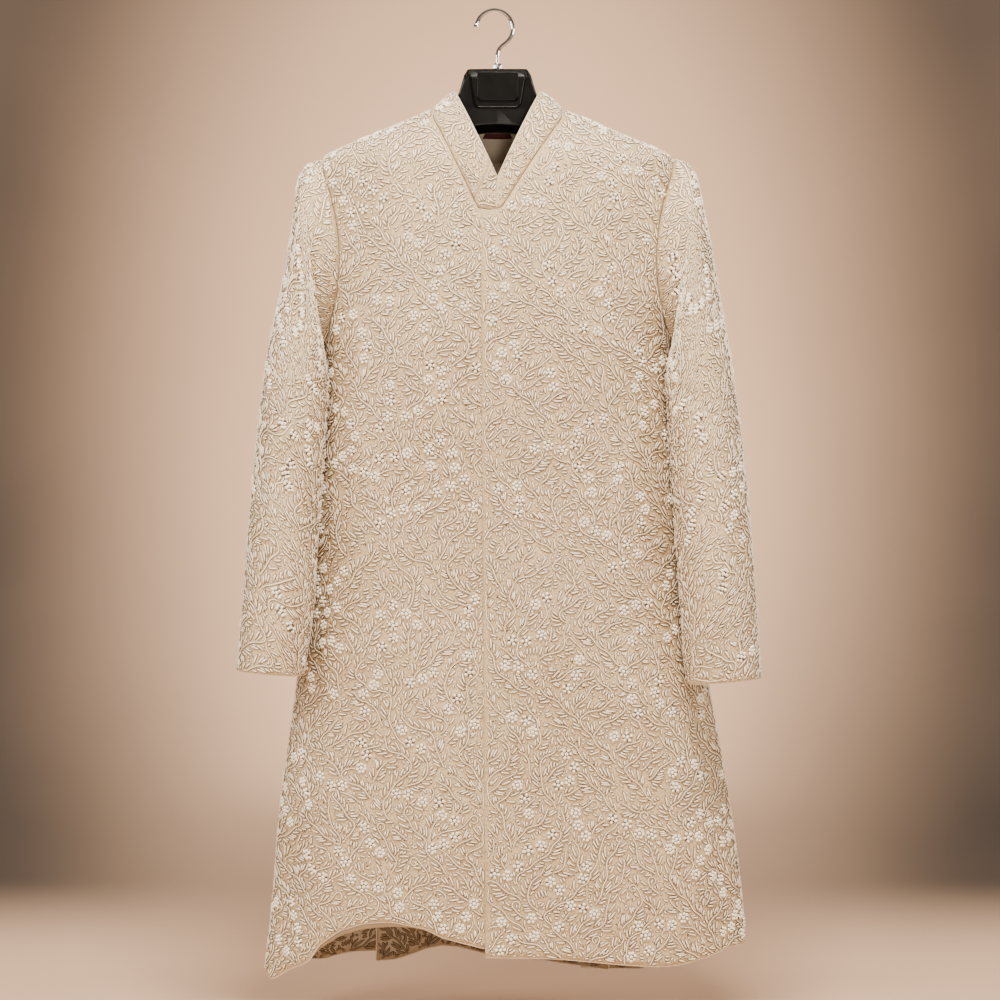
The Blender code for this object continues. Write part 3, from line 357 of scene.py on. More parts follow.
def linkMesh(name, form, slots):
    mesh = bpy.data.meshes.new(name)
    form.to_mesh(mesh)
    form.free()
    thing = bpy.data.objects.new(name, mesh)
    bpy.context.scene.collection.objects.link(thing)
    for slot in slots:
        mesh.materials.append(slot)
    return thing


def clothPiece(name, points, outward, slots, thickness):
    rows, columns = points.shape[:2]
    form = bmesh.new()
    uvLayer = form.loops.layers.uv.new("cloth")
    bmesh.ops.create_grid(form, x_segments=columns - 1, y_segments=rows - 1, size=1.0)
    across = np.linalg.norm(np.diff(points, axis=1), axis=-1).cumsum(axis=1)
    across = np.concatenate([np.zeros((rows, 1)), across], axis=1)
    down = np.linalg.norm(np.diff(points, axis=0), axis=-1).cumsum(axis=0)
    down = np.concatenate([np.zeros((1, columns)), down])
    place = {}
    for vert in form.verts:
        column = round((vert.co.x + 1) / 2 * (columns - 1))
        row = round((1 - vert.co.y) / 2 * (rows - 1))
        place[vert] = (row, column)
        vert.co = points[row, column]
    for face in form.faces:
        face.smooth = True
        for loop in face.loops:
            loop[uvLayer].uv = (across[place[loop.vert]], -down[place[loop.vert]])
    form.normal_update()
    turned = sum(face.normal.dot(Vector(outward[place[face.verts[0]]])) for face in form.faces)
    if turned < 0:
        bmesh.ops.reverse_faces(form, faces=form.faces)
    thing = linkMesh(name, form, slots)
    wall = thing.modifiers.new("wall", "SOLIDIFY")
    wall.thickness = thickness
    wall.offset = -1.0
    wall.use_quality_normals = True
    wall.material_offset = min(1, len(slots) - 1)
    wall.material_offset_rim = min(2, len(slots) - 1)
    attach(thing, "root")
    return thing


def bodyPanel(levels, startEdge, endEdge, count, hem, depth=None, sign=1.0):
    turns = np.array([evenTurns(float(startEdge(level)), float(endEdge(level)), level, count, hem)
                      for level in levels])
    grid = np.repeat(np.array(levels)[:, None], count + 1, axis=1)
    turns = turns * sign
    sunk = depth(turns, grid) if depth else 0.0
    return shift(clothPoint(turns, grid, sunk, hem)), ringNormal(turns, grid, hem)


sleeveForm = {
    # outer point, inner point, middle depth and half depth of each ring
    "left": [
        (0.2290, -0.1850, 0.2090, -0.4120, 0.000, 0.0660),
        (0.2385, -0.2120, 0.2040, -0.4260, -0.002, 0.0710),
        (0.2435, -0.2500, 0.2010, -0.4400, -0.005, 0.0750),
        (0.2505, -0.2960, 0.1990, -0.4560, -0.008, 0.0780),
        (0.2600, -0.3450, 0.1996, -0.4740, -0.012, 0.0800),
        (0.2700, -0.3940, 0.2017, -0.4930, -0.017, 0.0800),
        (0.2780, -0.4450, 0.2042, -0.5150, -0.023, 0.0790),
        (0.2835, -0.4980, 0.2072, -0.5450, -0.030, 0.0770),
        (0.2880, -0.5500, 0.2103, -0.5800, -0.038, 0.0740),
        (0.2920, -0.6020, 0.2131, -0.6200, -0.046, 0.0710),
        (0.2960, -0.6550, 0.2155, -0.6660, -0.055, 0.0670),
        (0.2995, -0.7080, 0.2186, -0.7150, -0.063, 0.0620),
        (0.3030, -0.7520, 0.2245, -0.7590, -0.070, 0.0570),
        (0.3055, -0.7850, 0.2297, -0.7915, -0.074, 0.0540),
    ],
    "right": [
        (0.2270, -0.1800, 0.2090, -0.4120, 0.000, 0.0660),
        (0.2390, -0.2080, 0.2040, -0.4260, -0.002, 0.0710),
        (0.2480, -0.2500, 0.1985, -0.4400, -0.005, 0.0750),
        (0.2575, -0.2980, 0.1965, -0.4560, -0.008, 0.0780),
        (0.2655, -0.3480, 0.1982, -0.4740, -0.012, 0.0800),
        (0.2740, -0.3980, 0.1998, -0.4930, -0.017, 0.0800),
        (0.2810, -0.4480, 0.2016, -0.5150, -0.023, 0.0790),
        (0.2880, -0.5020, 0.2041, -0.5450, -0.030, 0.0770),
        (0.2935, -0.5560, 0.2072, -0.5820, -0.038, 0.0740),
        (0.2980, -0.6100, 0.2108, -0.6250, -0.046, 0.0710),
        (0.3015, -0.6650, 0.2148, -0.6740, -0.055, 0.0670),
        (0.3045, -0.7150, 0.2178, -0.7230, -0.063, 0.0620),
        (0.3075, -0.7600, 0.2208, -0.7680, -0.070, 0.0570),
        (0.3100, -0.7940, 0.2235, -0.8010, -0.074, 0.0540),
    ],
    # turn around the sleeve and height of each end, spread, height; for both sleeves
    "creases": [
        (35.0, -0.205, 78.0, -0.300, 0.012, -0.0016),
        (12.0, -0.300, 62.0, -0.395, 0.013, -0.0014),
        (130.0, -0.450, 62.0, -0.485, 0.010, -0.0016),
        (122.0, -0.480, 40.0, -0.545, 0.012, 0.0012),
        (118.0, -0.520, 58.0, -0.575, 0.009, -0.0012),
        (60.0, -0.600, 74.0, -0.760, 0.011, -0.0010),
        (22.0, -0.560, 34.0, -0.720, 0.013, 0.0010),
        (-60.0, -0.240, -100.0, -0.380, 0.013, -0.0014),
        (-120.0, -0.450, -50.0, -0.520, 0.012, -0.0014),
        (-80.0, -0.560, -70.0, -0.740, 0.012, 0.0010),
    ],
    "square": 2.25,
    "clear": 0.0045,
    "frontSeam": 142.5,
    "backSeam": 232.5,
    "angles": 96,
    "rows": 100,
}


def armholePoint(angle, sign, depth, outward):
    middle = (bodyForm["armTop"] + bodyForm["armBottom"]) / 2
    half = (bodyForm["armTop"] - bodyForm["armBottom"]) / 2
    level = middle + (half - outward) * np.cos(angle)
    swing = np.sin(angle)
    reach = np.where(swing > 0, bodyForm["armFrontTurn"], -bodyForm["armBackTurn"])
    turn = sign * (math.pi / 2 - np.radians(reach) * np.abs(swing) * (1 - outward / 0.055))
    return clothPoint(turn, level, depth, "frontRight" if sign > 0 else "frontLeft")


def sideReach(y, z):
    square = bodyValue("square", z)
    depth = np.where(y < 0, bodyValue("front", z), bodyValue("back", z))
    ratio = np.clip(np.abs(y) / depth, 0, 1)
    return bodyValue("halfWidth", z) * (1 - ratio**square)**(1 / square)


def sleeveRing(row, sign, angles):
    outerX, outerZ, innerX, innerZ, middleY, halfDepth = row
    c, s = np.cos(angles), np.sin(angles)
    reach = (np.abs(s)**sleeveForm["square"] + np.abs(c)**sleeveForm["square"])**(-1 / sleeveForm["square"])
    x = (outerX + innerX) / 2 + (outerX - innerX) / 2 * c * reach
    z = (outerZ + innerZ) / 2 + (outerZ - innerZ) / 2 * c * reach
    y = middleY - halfDepth * s * reach
    least = bodyValue("middle", z) * sign + sideReach(y, z) + sleeveForm["clear"]
    x = np.where(z < bodyForm["armBottom"] + 0.004, np.maximum(x, least), x)
    return np.stack([sign * x, y, z], axis=-1)


def sleeveSurface(side):
    sign = 1.0 if side == "right" else -1.0
    table = np.array(sleeveForm[side])
    angles = np.linspace(0, 2 * math.pi, sleeveForm["angles"], endpoint=False)
    fine = smoothRead(np.linspace(0, len(table) - 1, 2 * len(table) - 1), np.arange(len(table)), table)
    armhole = armholePoint(angles, sign, 0.0, 0.0003)
    rings = [armhole]
    upper = np.clip((np.cos(angles) + 0.35) / 0.6, 0, 1)[:, None]
    for k, row in enumerate(fine):
        hold = (0.45, 0.18, 0.06, 0.0)[min(k, 3)]
        ahead = armhole + np.array([sign * 0.012 * (k + 1), 0.0, -0.003 * (k + 1)])
        rings.append(sleeveRing(row, sign, angles) * (1 - hold * upper) + ahead * hold * upper)
    rings = np.array(rings)
    keys = np.linspace(0, len(rings) - 1, sleeveForm["rows"])
    rings = smoothRead(keys, np.arange(len(rings)), rings)
    closed = np.concatenate([rings[:, -1:], rings, rings[:, :1]], axis=1)
    normals = outwardNormals(closed, closed - closed.mean(axis=1, keepdims=True))[:, 1:-1]
    degrees = np.degrees(angles)[None, :]
    height = rings[..., 2]
    raised = np.zeros(height.shape)
    for turnA, levelA, turnB, levelB, spread, tall in sleeveForm["creases"]:
        near = (degrees - turnA + 180.0) % 360.0 - 180.0
        away, along = segmentAway(near * 0.0011, height, (0.0, levelA), ((turnB - turnA) * 0.0011, levelB))
        raised = raised + tall * (0.45 + 0.55 * np.sin(math.pi * along)) * np.exp(-(away / spread)**2)
    edge = np.clip(np.arange(len(rings)) / 8, 0, 1)[:, None]
    return shift(rings + normals * (raised * edge)[..., None]), normals


def sleeveStrip(grid, start, end, gap=0.0):
    count = sleeveForm["angles"]
    width = np.linalg.norm(grid[-1, 0] - grid[-1, 1]) if gap else 1.0
    first, last = start / 360 * count, end / 360 * count
    between = list(range(math.ceil(first + 0.3), math.floor(last - 0.3) + 1))
    stops = [first + gap / width] + between + [last - gap / width]
    columns = []
    for stop in stops:
        low = math.floor(stop)
        share = stop - low
        columns.append(grid[:, low % count] * (1 - share) + grid[:, (low + 1) % count] * share)
    return np.stack(columns, axis=1)


collarForm = {
    "halfWidth": 0.0520, "frontY": -0.0900, "backY": 0.0500,
    "frontZ": -0.2060, "sideZ": -0.0965, "backZ": -0.0920,
    "bulge": 0.0015, "seam": 0.0007, "stations": 85, "rows": 9,
    "leftJoin": 0.036, "crossing": 0.0037, "cloth": 0.0029,
}


def collarFoot(side):
    sign = 1.0 if side == "right" else -1.0
    hem = "frontRight" if side == "right" else "frontLeft"
    place = 1 if side == "right" else 2
    levels = np.linspace(edgeForm["neckEnd"], neckLevel, 40)
    across = smoothRead(levels, tableColumn(edgeForm["neck"], 0), tableColumn(edgeForm["neck"], place))
    turns = turnAt(sign * across, levels)
    back = np.linspace(abs(turns[-1]), math.pi, 30)[1:]
    first = (-0.0025, -0.2450) if side == "right" else (0.0010, -0.2468)
    turns = np.concatenate([[turnAt(first[0], first[1])], turns, sign * back])
    levels = np.concatenate([[first[1]], levels, np.full(len(back), neckLevel)])
    points = clothPoint(turns, levels, 0.0, hem)
    away = np.cross(np.gradient(points, axis=0), ringNormal(turns, levels, hem))
    away /= np.linalg.norm(away, axis=-1, keepdims=True)
    away *= np.sign(np.sum(away * (np.array([0.0, 0.0, -0.10]) - points), axis=-1, keepdims=True))
    return points + away * collarForm["seam"]


def collarTop(side):
    sign = 1.0 if side == "right" else -1.0
    turn = np.linspace(0, math.pi, 90)
    near = turn < math.pi / 2
    y = np.where(near, collarForm["frontY"], -collarForm["backY"]) * np.cos(turn)
    end = np.where(near, collarForm["frontZ"], collarForm["backZ"])
    points = np.stack([sign * collarForm["halfWidth"] * np.sin(turn), y,
                       end + (collarForm["sideZ"] - end) * np.sin(turn)], axis=-1)
    drop = 0.001 if side == "right" else 0.009
    points[0] = (sign * (-0.0010 if side == "right" else -0.0040),
                 collarForm["frontY"], collarForm["frontZ"] - drop)
    return points


def resample(points, stations):
    total = np.concatenate([[0.0], np.cumsum(np.linalg.norm(np.diff(points, axis=0), axis=1))])
    at = np.asarray(stations) * total[-1]
    return np.stack([np.interp(at, total, points[:, k]) for k in range(3)], axis=-1), total[-1]


def collarSurface():
    count = collarForm["stations"]
    halves = []
    for side in ("left", "right"):
        foot, length = resample(collarFoot(side), np.linspace(0, 1, count))
        top = resample(collarTop(side), np.linspace(0, 1, count))[0]
        outward = (foot + top) / 2 - np.array([0.0, -0.01, -0.13])
        outward[:, 2] *= 0.3
        outward /= np.linalg.norm(outward, axis=-1, keepdims=True)
        share = np.linspace(0, 1, collarForm["rows"])[:, None, None]
        rows = foot * (1 - share) + top * share + outward * collarForm["bulge"] * 4 * share * (1 - share)
        halves.append((rows, length))
    (left, leftLength), (right, _) = halves
    whole = np.concatenate([left, right[:, ::-1][:, 1:]], axis=1)
    outward = whole - np.array([0.0, -0.02, -0.14])
    outward[..., 2] = 0.0
    normals = outwardNormals(whole, outward)
    stations = np.linspace(0, leftLength, count)
    sink = np.zeros(whole.shape[1])
    sink[:count] = collarForm["crossing"] * ease(1.55 - stations / 0.030)
    whole = whole + np.array([0.0, 1.0, 0.0]) * sink[None, :, None]
    join = int(np.argmin(np.abs(stations - collarForm["leftJoin"])))
    return shift(whole), normals, join


class Wire:                                # a socket, with its maths written as expressions
    def __init__(self, tree, socket=None):
        self.tree = tree
        self.socket = socket

    def node(self, kind, settings=None, inputs=None, out=0):
        made = self.tree.nodes.new("ShaderNode" + kind)
        for key, value in (settings or {}).items():
            if key == "stops":
                while len(made.color_ramp.elements) < len(value):
                    made.color_ramp.elements.new(0.5)
                for element, (position, colour) in zip(made.color_ramp.elements, value):
                    element.position = position
                    element.color = colour
            else:
                setattr(made, key, value)
        for key, value in (inputs or {}).items():
            if isinstance(value, Wire):
                self.tree.links.new(value.socket, made.inputs[key])
            else:
                made.inputs[key].default_value = value
        return Wire(self.tree, made.outputs[out])

    def maths(self, operation, first, second=0.0, clamp=False):
        return self.node("Math", {"operation": operation, "use_clamp": clamp}, {0: first, 1: second})

    def __add__(self, other):
        return self.maths("ADD", self, other)

    def __radd__(self, other):
        return self.maths("ADD", other, self)

    def __sub__(self, other):
        return self.maths("SUBTRACT", self, other)

    def __rsub__(self, other):
        return self.maths("SUBTRACT", other, self)

    def __mul__(self, other):
        return self.maths("MULTIPLY", self, other)

    def __rmul__(self, other):
        return self.maths("MULTIPLY", other, self)

    def __truediv__(self, other):
        return self.maths("DIVIDE", self, other)

    def clamped(self):
        return self.maths("ADD", self, 0.0, clamp=True)

    def blend(self, first, second):        # colours, with this value as the factor
        return self.node("Mix", {"data_type": "RGBA"}, {0: self, 6: first, 7: second}, out=2)

    def ranged(self, low, high):           # a soft step between two values
        return self.node("MapRange", {"interpolation_type": "SMOOTHSTEP"},
                         {0: self, 1: low, 2: high, 3: 0.0, 4: 1.0})


def rgb(red, green, blue):                 # a photo colour, made linear
    values = [v / 255 for v in (red, green, blue)]
    return tuple(v / 12.92 if v <= 0.04045 else ((v + 0.055) / 1.055)**2.4 for v in values) + (1.0,)


def newMaterial(name, roughness=0.5, metallic=0.0, colour=(0.5, 0.5, 0.5, 1.0), uniform=None):
    material = bpy.data.materials.new(name)
    material.use_nodes = True
    shader = material.node_tree.nodes["Principled BSDF"]
    shader.inputs["Roughness"].default_value = roughness
    shader.inputs["Metallic"].default_value = metallic
    shader.inputs["Base Color"].default_value = colour
    for key, value in (uniform or {}).items():
        shader.inputs[key].default_value = value
    material.diffuse_color = colour
    return material, shader, Wire(material.node_tree)


def join(wire, shader, socket):
    wire.tree.links.new(wire.socket, shader.inputs[socket])


def bumped(graph, shader, height, distance, strength=1.0):
    made = graph.node("Bump", {}, {"Height": height, "Distance": distance, "Strength": strength})
    join(made, shader, "Normal")


clothLook = {
    "ground": rgb(222, 197, 156), "groundDeep": rgb(142, 112, 74),
    # The shade colours of the two thread pairs are painted shade at the foot of every stitch.
    "thread": rgb(252, 234, 204), "threadPaintedShade": rgb(82, 54, 26),
    # The deep pair is the thread darkened as painted shade, for the band inside the back hem.
    "deep": rgb(126, 100, 66), "deepPaintedShade": rgb(58, 40, 22),
    "pearl": rgb(255, 246, 226), "piping": rgb(236, 226, 208),
    "lining": rgb(222, 208, 186), "liningShade": rgb(204, 188, 164),
    # The inner pair is the lining darkened as painted shade, for the coat's inside faces and the hem facing.
    "inner": rgb(170, 148, 118), "innerShade": rgb(146, 124, 94),
}


def brocadeMaterial():                     # ground of the shell, between the threads
    material, shader, graph = newMaterial("brocade", 0.62,
                                          uniform={"Sheen Weight": 0.15, "Sheen Roughness": 0.5})
    place = graph.node("TexCoord", out=3)
    broad = graph.node("TexNoise", {}, {"Vector": place, "Scale": 9.0, "Detail": 2.0})
    fine = graph.node("TexNoise", {}, {"Vector": place, "Scale": 520.0, "Detail": 2.0})
    stitches = graph.node("TexVoronoi", {"feature": "F1"}, {"Vector": place, "Scale": 420.0})
    mask = ((fine - 0.5) * 1.6 + (broad - 0.5) * 0.5 + 0.55).clamped()
    join(mask.blend(clothLook["groundDeep"], clothLook["ground"]), shader, "Base Color")
    bumped(graph, shader, fine + stitches * 0.8, 0.0006, 0.6)
    return material


def threadMaterial(name, crestColour, paintedShadeColour):    # raised cords: pale crests, with painted shade in tan at their feet
    material, shader, graph = newMaterial(name, 0.5, uniform={"Sheen Weight": 0.2, "Sheen Roughness": 0.4})
    place = graph.node("TexCoord", out=3)
    raised = graph.node("Attribute", {"attribute_name": "raise"}, out=2)
    broad = graph.node("TexNoise", {}, {"Vector": place, "Scale": 14.0, "Detail": 1.0})
    fine = graph.node("TexNoise", {}, {"Vector": place, "Scale": 900.0, "Detail": 1.0})
    # painted shade: the foot of each cord, where raise is low, takes the shade colour as if shadowed between
    # the stitches; the noise adds random tone
    crest = (raised.ranged(0.34, 0.68) + (broad - 0.5) * 0.15 + (fine - 0.5) * 0.15).clamped()
    join(crest.blend(paintedShadeColour, crestColour), shader, "Base Color")
    bumped(graph, shader, fine, 0.0002, 0.5)
    return material


def liningMaterial(name, colour, shade):
    material, shader, graph = newMaterial(name, 0.38, uniform={"Sheen Weight": 0.1})
    place = graph.node("TexCoord", out=3)
    broad = graph.node("TexNoise", {}, {"Vector": place, "Scale": 12.0, "Detail": 2.0})
    weave = graph.node("TexNoise", {}, {"Vector": place, "Scale": 1400.0, "Detail": 1.0})
    join(((broad - 0.5) * 1.2 + 0.5).clamped().blend(shade, colour), shader, "Base Color")
    bumped(graph, shader, weave, 0.0002, 0.4)
    return material


def pipingMaterial():
    material, shader, graph = newMaterial("piping", 0.45)
    place = graph.node("TexCoord", out=3)
    twist = graph.node("TexNoise", {}, {"Vector": place, "Scale": 700.0, "Detail": 1.0})
    join(twist.blend(rgb(205, 188, 165), clothLook["piping"]), shader, "Base Color")
    bumped(graph, shader, twist, 0.0003, 0.5)
    return material


def pearlMaterial():
    material, shader, graph = newMaterial("pearl", 0.24, uniform={"Coat Weight": 0.4, "Coat Roughness": 0.15})
    place = graph.node("TexCoord", out=3)
    tint = graph.node("TexNoise", {}, {"Vector": place, "Scale": 160.0})
    join(tint.blend(rgb(240, 228, 206), clothLook["pearl"]), shader, "Base Color")
    return material


def labelMaterial():
    material, shader, graph = newMaterial("label", 0.7)
    place = graph.node("TexCoord", out=3)
    weave = graph.node("TexNoise", {}, {"Vector": place, "Scale": 1500.0})
    join(weave.blend(rgb(42, 8, 8), rgb(92, 20, 18)), shader, "Base Color")
    bumped(graph, shader, weave, 0.0002, 0.5)
    return material


def plasticMaterial(name, roughness):
    material, shader, graph = newMaterial(name, roughness, uniform={"Specular IOR Level": 0.14})
    place = graph.node("TexCoord", out=3)
    smear = graph.node("TexNoise", {}, {"Vector": place, "Scale": 60.0, "Detail": 3.0})
    join(smear.blend((0.0015, 0.0012, 0.001, 1.0), (0.004, 0.0035, 0.003, 1.0)), shader, "Base Color")
    join(smear * 0.1 + (roughness - 0.05), shader, "Roughness")
    bumped(graph, shader, smear, 0.0003, 0.15)
    return material


def steelMaterial():
    material, shader, graph = newMaterial("steel", 0.14, 1.0)
    place = graph.node("TexCoord", out=3)
    drawn = graph.node("TexNoise", {}, {"Vector": place, "Scale": 240.0, "Detail": 2.0})
    join(drawn.blend(rgb(205, 203, 200), rgb(232, 230, 226)), shader, "Base Color")
    join(drawn * 0.12 + 0.10, shader, "Roughness")
    return material


brocade = brocadeMaterial()
thread = threadMaterial("thread", clothLook["thread"], clothLook["threadPaintedShade"])
# A darker copy of the thread: painted shade for the band inside the back hem.
shadedBandThread = threadMaterial("shadedBandThread", clothLook["deep"], clothLook["deepPaintedShade"])
lining = liningMaterial("lining", clothLook["lining"], clothLook["liningShade"])
# A darker copy of the lining: painted shade for the coat's inside faces and the hem facing.
shadedInnerLining = liningMaterial("shadedInnerLining", clothLook["inner"], clothLook["innerShade"])
piping = pipingMaterial()
pearl = pearlMaterial()
darkBead = newMaterial("darkBead", 0.35, 0.2, rgb(96, 78, 50))[0]
label = labelMaterial()
plastic = plasticMaterial("blackPlastic", 0.32)
ridgePlastic = plasticMaterial("ridgePlastic", 0.14)
steel = steelMaterial()
shellSlots = [brocade, shadedInnerLining, piping]
print("materials made")


panels = {}                                # face and outward directions of each panel
frontStops = (-0.2431, -0.2450, -0.2468, -0.2520)
fronts = {"rightCount": 44, "leftCount": 52, "flatRight": (0.34, 1.03), "flatLeft": (0.37, 1.04)}
levels = fineLevels(neckLevel, hemLevel - 0.001, frontStops)
surface, outward = bodyPanel(levels, rightEdge, lambda level: sideEdge(level, 1.0),
                             fronts["rightCount"], "frontRight")
panels["frontRight"] = (surface, outward)
frontRight = clothPiece("frontRight", surface, outward, shellSlots, bodyForm["cloth"])
surface, outward = bodyPanel(levels, leftEdge, lambda level: sideEdge(level, -1.0),
                             fronts["leftCount"], "frontLeft", leftDepth)
panels["frontLeft"] = (surface, outward)
frontLeft = clothPiece("frontLeft", surface, outward, shellSlots, bodyForm["cloth"])
print("fronts made")

backs = {"middleCount": 66, "sideCount": 30, "sideTop": edgeForm["back"][0][0] - 0.0005,
         "flatMiddle": (0.48, 1.05), "flatSide": (0.24, 0.84)}
levels = fineLevels(neckLevel, hemLevel - 0.001)
surface, outward = bodyPanel(levels, lambda level: middleEdge(level, "right"),
                             lambda level: middleEdge(level, "left"), backs["middleCount"],
                             "backMiddle", middleDepth)
panels["backMiddle"] = (surface, outward)
backMiddle = clothPiece("backMiddle", surface, outward, shellSlots, bodyForm["cloth"])
levels = fineLevels(backs["sideTop"], hemLevel - 0.001)
backSides = {}
for side, sign in (("left", -1.0), ("right", 1.0)):
    surface, outward = bodyPanel(levels, lambda level: sideEdge(level, 1.0, True),
                                 lambda level: lapEdge(level, side), backs["sideCount"],
                                 "backLeft" if side == "left" else "backRight", None, sign)
    panels["backSide" + side.title()] = (surface, outward)
    backSides[side] = clothPiece("backSide" + side.title(), surface, outward, shellSlots, bodyForm["cloth"])
print("backs made")

sleeves = {}
for side in ("left", "right"):
    surface, outward = sleeveSurface(side)
    for part, start, end in (("Upper", sleeveForm["backSeam"] - 360, sleeveForm["frontSeam"]),
                             ("Under", sleeveForm["frontSeam"], sleeveForm["backSeam"])):
        strip = sleeveStrip(surface, start, end, 0.0003)
        facing = sleeveStrip(outward, start, end)
        name = "sleeve" + side.title() + part
        panels[name] = (strip, facing)
        sleeves[side + part] = clothPiece(name, strip, facing, shellSlots, bodyForm["cloth"])
print("sleeves made")

surface, outward, joinAt = collarSurface()
collarBand = clothPiece("collarBand", surface[:, joinAt:], outward[:, joinAt:], [brocade, brocade, piping],
                        collarForm["cloth"])
collarEnd = clothPiece("collarEnd", surface[:, :joinAt + 1], outward[:, :joinAt + 1],
                       [brocade, brocade, piping], collarForm["cloth"])
panels["collar"] = (surface, outward)
print("collar made")

neckForm = {"top": -0.1215, "bottom": -0.262, "gap": 0.0006, "cloth": 0.0011,
            "labelWidth": 0.037, "labelBottom": -0.1290, "labelCloth": 0.0008}
levels = fineLevels(neckForm["top"], neckForm["bottom"])
inner = bodyForm["cloth"] + 0.0001 + neckForm["gap"]
turns = np.array([np.interp(np.linspace(0.25, 0.75, 40), np.linspace(0, 1, 81),
                            evenTurns(float(middleEdge(level, "right")), float(middleEdge(level, "left")),
                                      level, 80, "backMiddle"))
                  for level in levels])
grid = np.repeat(levels[:, None], turns.shape[1], axis=1)
neckLining = clothPiece("neckLining", shift(clothPoint(turns, grid, inner, "backMiddle")),
                        ringNormal(turns, grid, "backMiddle"), [lining], neckForm["cloth"])
across = np.linspace(neckForm["labelWidth"] / 2, -neckForm["labelWidth"] / 2, 25)
turns = turnAt(across, neckForm["labelBottom"], facingBack=True) % (2 * math.pi)
turns, grid = np.meshgrid(turns, np.linspace(neckForm["top"], neckForm["labelBottom"], 7))
depth = inner + neckForm["cloth"] + neckForm["gap"]
neckLabel = clothPiece("neckLabel", shift(clothPoint(turns, grid, depth, "backMiddle")),
                       ringNormal(turns, grid, "backMiddle"), [label], neckForm["labelCloth"])

facingForm = {"shows": [(-0.2200, 0.0010), (-0.2080, 0.0050), (-0.1860, 0.0065), (-0.1630, 0.0070),
                        (-0.1440, 0.0068), (-0.1220, 0.0056), (-0.1030, 0.0028), (-0.0840, 0.0025),
                        (-0.0660, 0.0005), (-0.0400, 0.0003)],
              "height": 0.036, "cloth": 0.0011, "gap": 0.0005}
leftHem, leftOut = panels["frontLeft"]
back = leftHem - leftOut * (bodyForm["cloth"] + facingForm["gap"])
acrossHem = back[-1, :, 0] - bodyForm["hookSide"]
kept = (acrossHem > facingForm["shows"][0][0]) & (acrossHem < facingForm["shows"][-1][0])
shows = straightRead(acrossHem[kept], tableColumn(facingForm["shows"], 0),
                     tableColumn(facingForm["shows"], 1))
drop = np.stack([0 * shows, 0 * shows, -shows], axis=-1)
rows = [back[-1 - k][kept] for k in range(5, -1, -1)]
rows += [back[-1][kept] + drop * share for share in (0.5, 1.0)]
hemFacing = clothPiece("hemFacing", np.array(rows), np.repeat(leftOut[-1:, kept], len(rows), axis=0),
                       [shadedInnerLining], facingForm["cloth"])
print("lining, label and facing made")

for name, material, width in (("hanger_body", plastic, 0.0016), ("hanger_badge", plastic, 0.0005),
                              ("hanger_ridge", ridgePlastic, 0.0004), ("hook", steel, 0.0),
                              ("hook_ferrule", steel, 0.0003)):
    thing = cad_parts[name]
    thing.data.materials.clear()
    thing.data.materials.append(material)
    weld = thing.modifiers.new("weld", "WELD")
    weld.merge_threshold = 0.00002
    if width:
        bevel = thing.modifiers.new("bevel", "BEVEL")
        bevel.width = width
        bevel.segments = 2
        bevel.angle_limit = math.radians(32)
print("hanger and hook dressed")

patternForm = {
    "step": 0.004,                         # spacing of the points that carry the pattern
    "cell": 0.001,                         # spacing of the map of what is still free
    "edge": 0.0012,                        # bare margin along every edge
    "leafGap": 0.0038, "leafLong": 0.0175, "leafLeast": 0.0050, "leafHalf": 0.00180,
    "stemHalf": 0.00130, "stemStep": 0.003, "stemApart": 0.0115, "rise": 0.0019, "sunk": -0.00005,
    "pearl": 0.00220, "petals": (5, 6, 6, 7), "clusterRing": 0.0047, "clusterClear": 0.0070,
    "groupApart": 0.033, "sequin": 0.0012, "shadePad": 0.0056,
}


def patternMap(points, inside, reference):
    step = patternForm["step"]
    along = np.linalg.norm(np.diff(points, axis=1), axis=-1).cumsum(axis=1)
    along = np.concatenate([np.zeros((len(points), 1)), along], axis=1)
    along -= along[:, reference:reference + 1]
    shown = inside > -0.012
    us = np.arange(along[shown].min(), along[shown].max() + step, step)
    stack = np.concatenate([points, inside[..., None]], axis=-1)
    even = np.array([[np.interp(us, along[r], stack[r, :, k], right=stack[r, -1, k]) for k in range(4)]
                     for r in range(len(points))]).transpose(0, 2, 1)
    past = (us[None, :] < along[:, :1]) | (us[None, :] > along[:, -1:])
    even[..., 3] = np.where(past, -0.05, even[..., 3])
    down = np.linalg.norm(np.diff(even[..., :3], axis=0), axis=-1).cumsum(axis=0)
    down = np.concatenate([np.zeros((1, len(us))), down])
    down -= down[len(down) // 2]
    vs = np.arange(down.min(), down.max() + step, step)
    full = np.array([[np.interp(vs, down[:, c], even[:, c, k]) for k in range(4)]
                     for c in range(len(us))]).transpose(2, 0, 1)
    margin = np.minimum(vs[:, None] - down[0][None, :], down[-1][None, :] - vs[:, None])
    full[..., 3] = np.minimum(full[..., 3], margin)
    place = full[..., :3]
    normal = np.cross(np.gradient(place, axis=0), np.gradient(place, axis=1))
    normal /= np.maximum(np.linalg.norm(normal, axis=-1, keepdims=True), 1e-9)
    return {"u": us[0], "v": vs[0], "place": place, "normal": normal, "inside": full[..., 3]}


def readMap(cloth, key, u, v):
    grid = cloth[key]
    step = patternForm["step"]
    x = np.clip((u - cloth["u"]) / step, 0, grid.shape[1] - 1.001)
    y = np.clip((v - cloth["v"]) / step, 0, grid.shape[0] - 1.001)
    i, j = y.astype(int), x.astype(int)
    a, b = y - i, x - j
    if grid.ndim == 3:
        a, b = a[..., None], b[..., None]
    return (grid[i, j] * (1 - a) * (1 - b) + grid[i, j + 1] * (1 - a) * b
            + grid[i + 1, j] * a * (1 - b) + grid[i + 1, j + 1] * a * b)


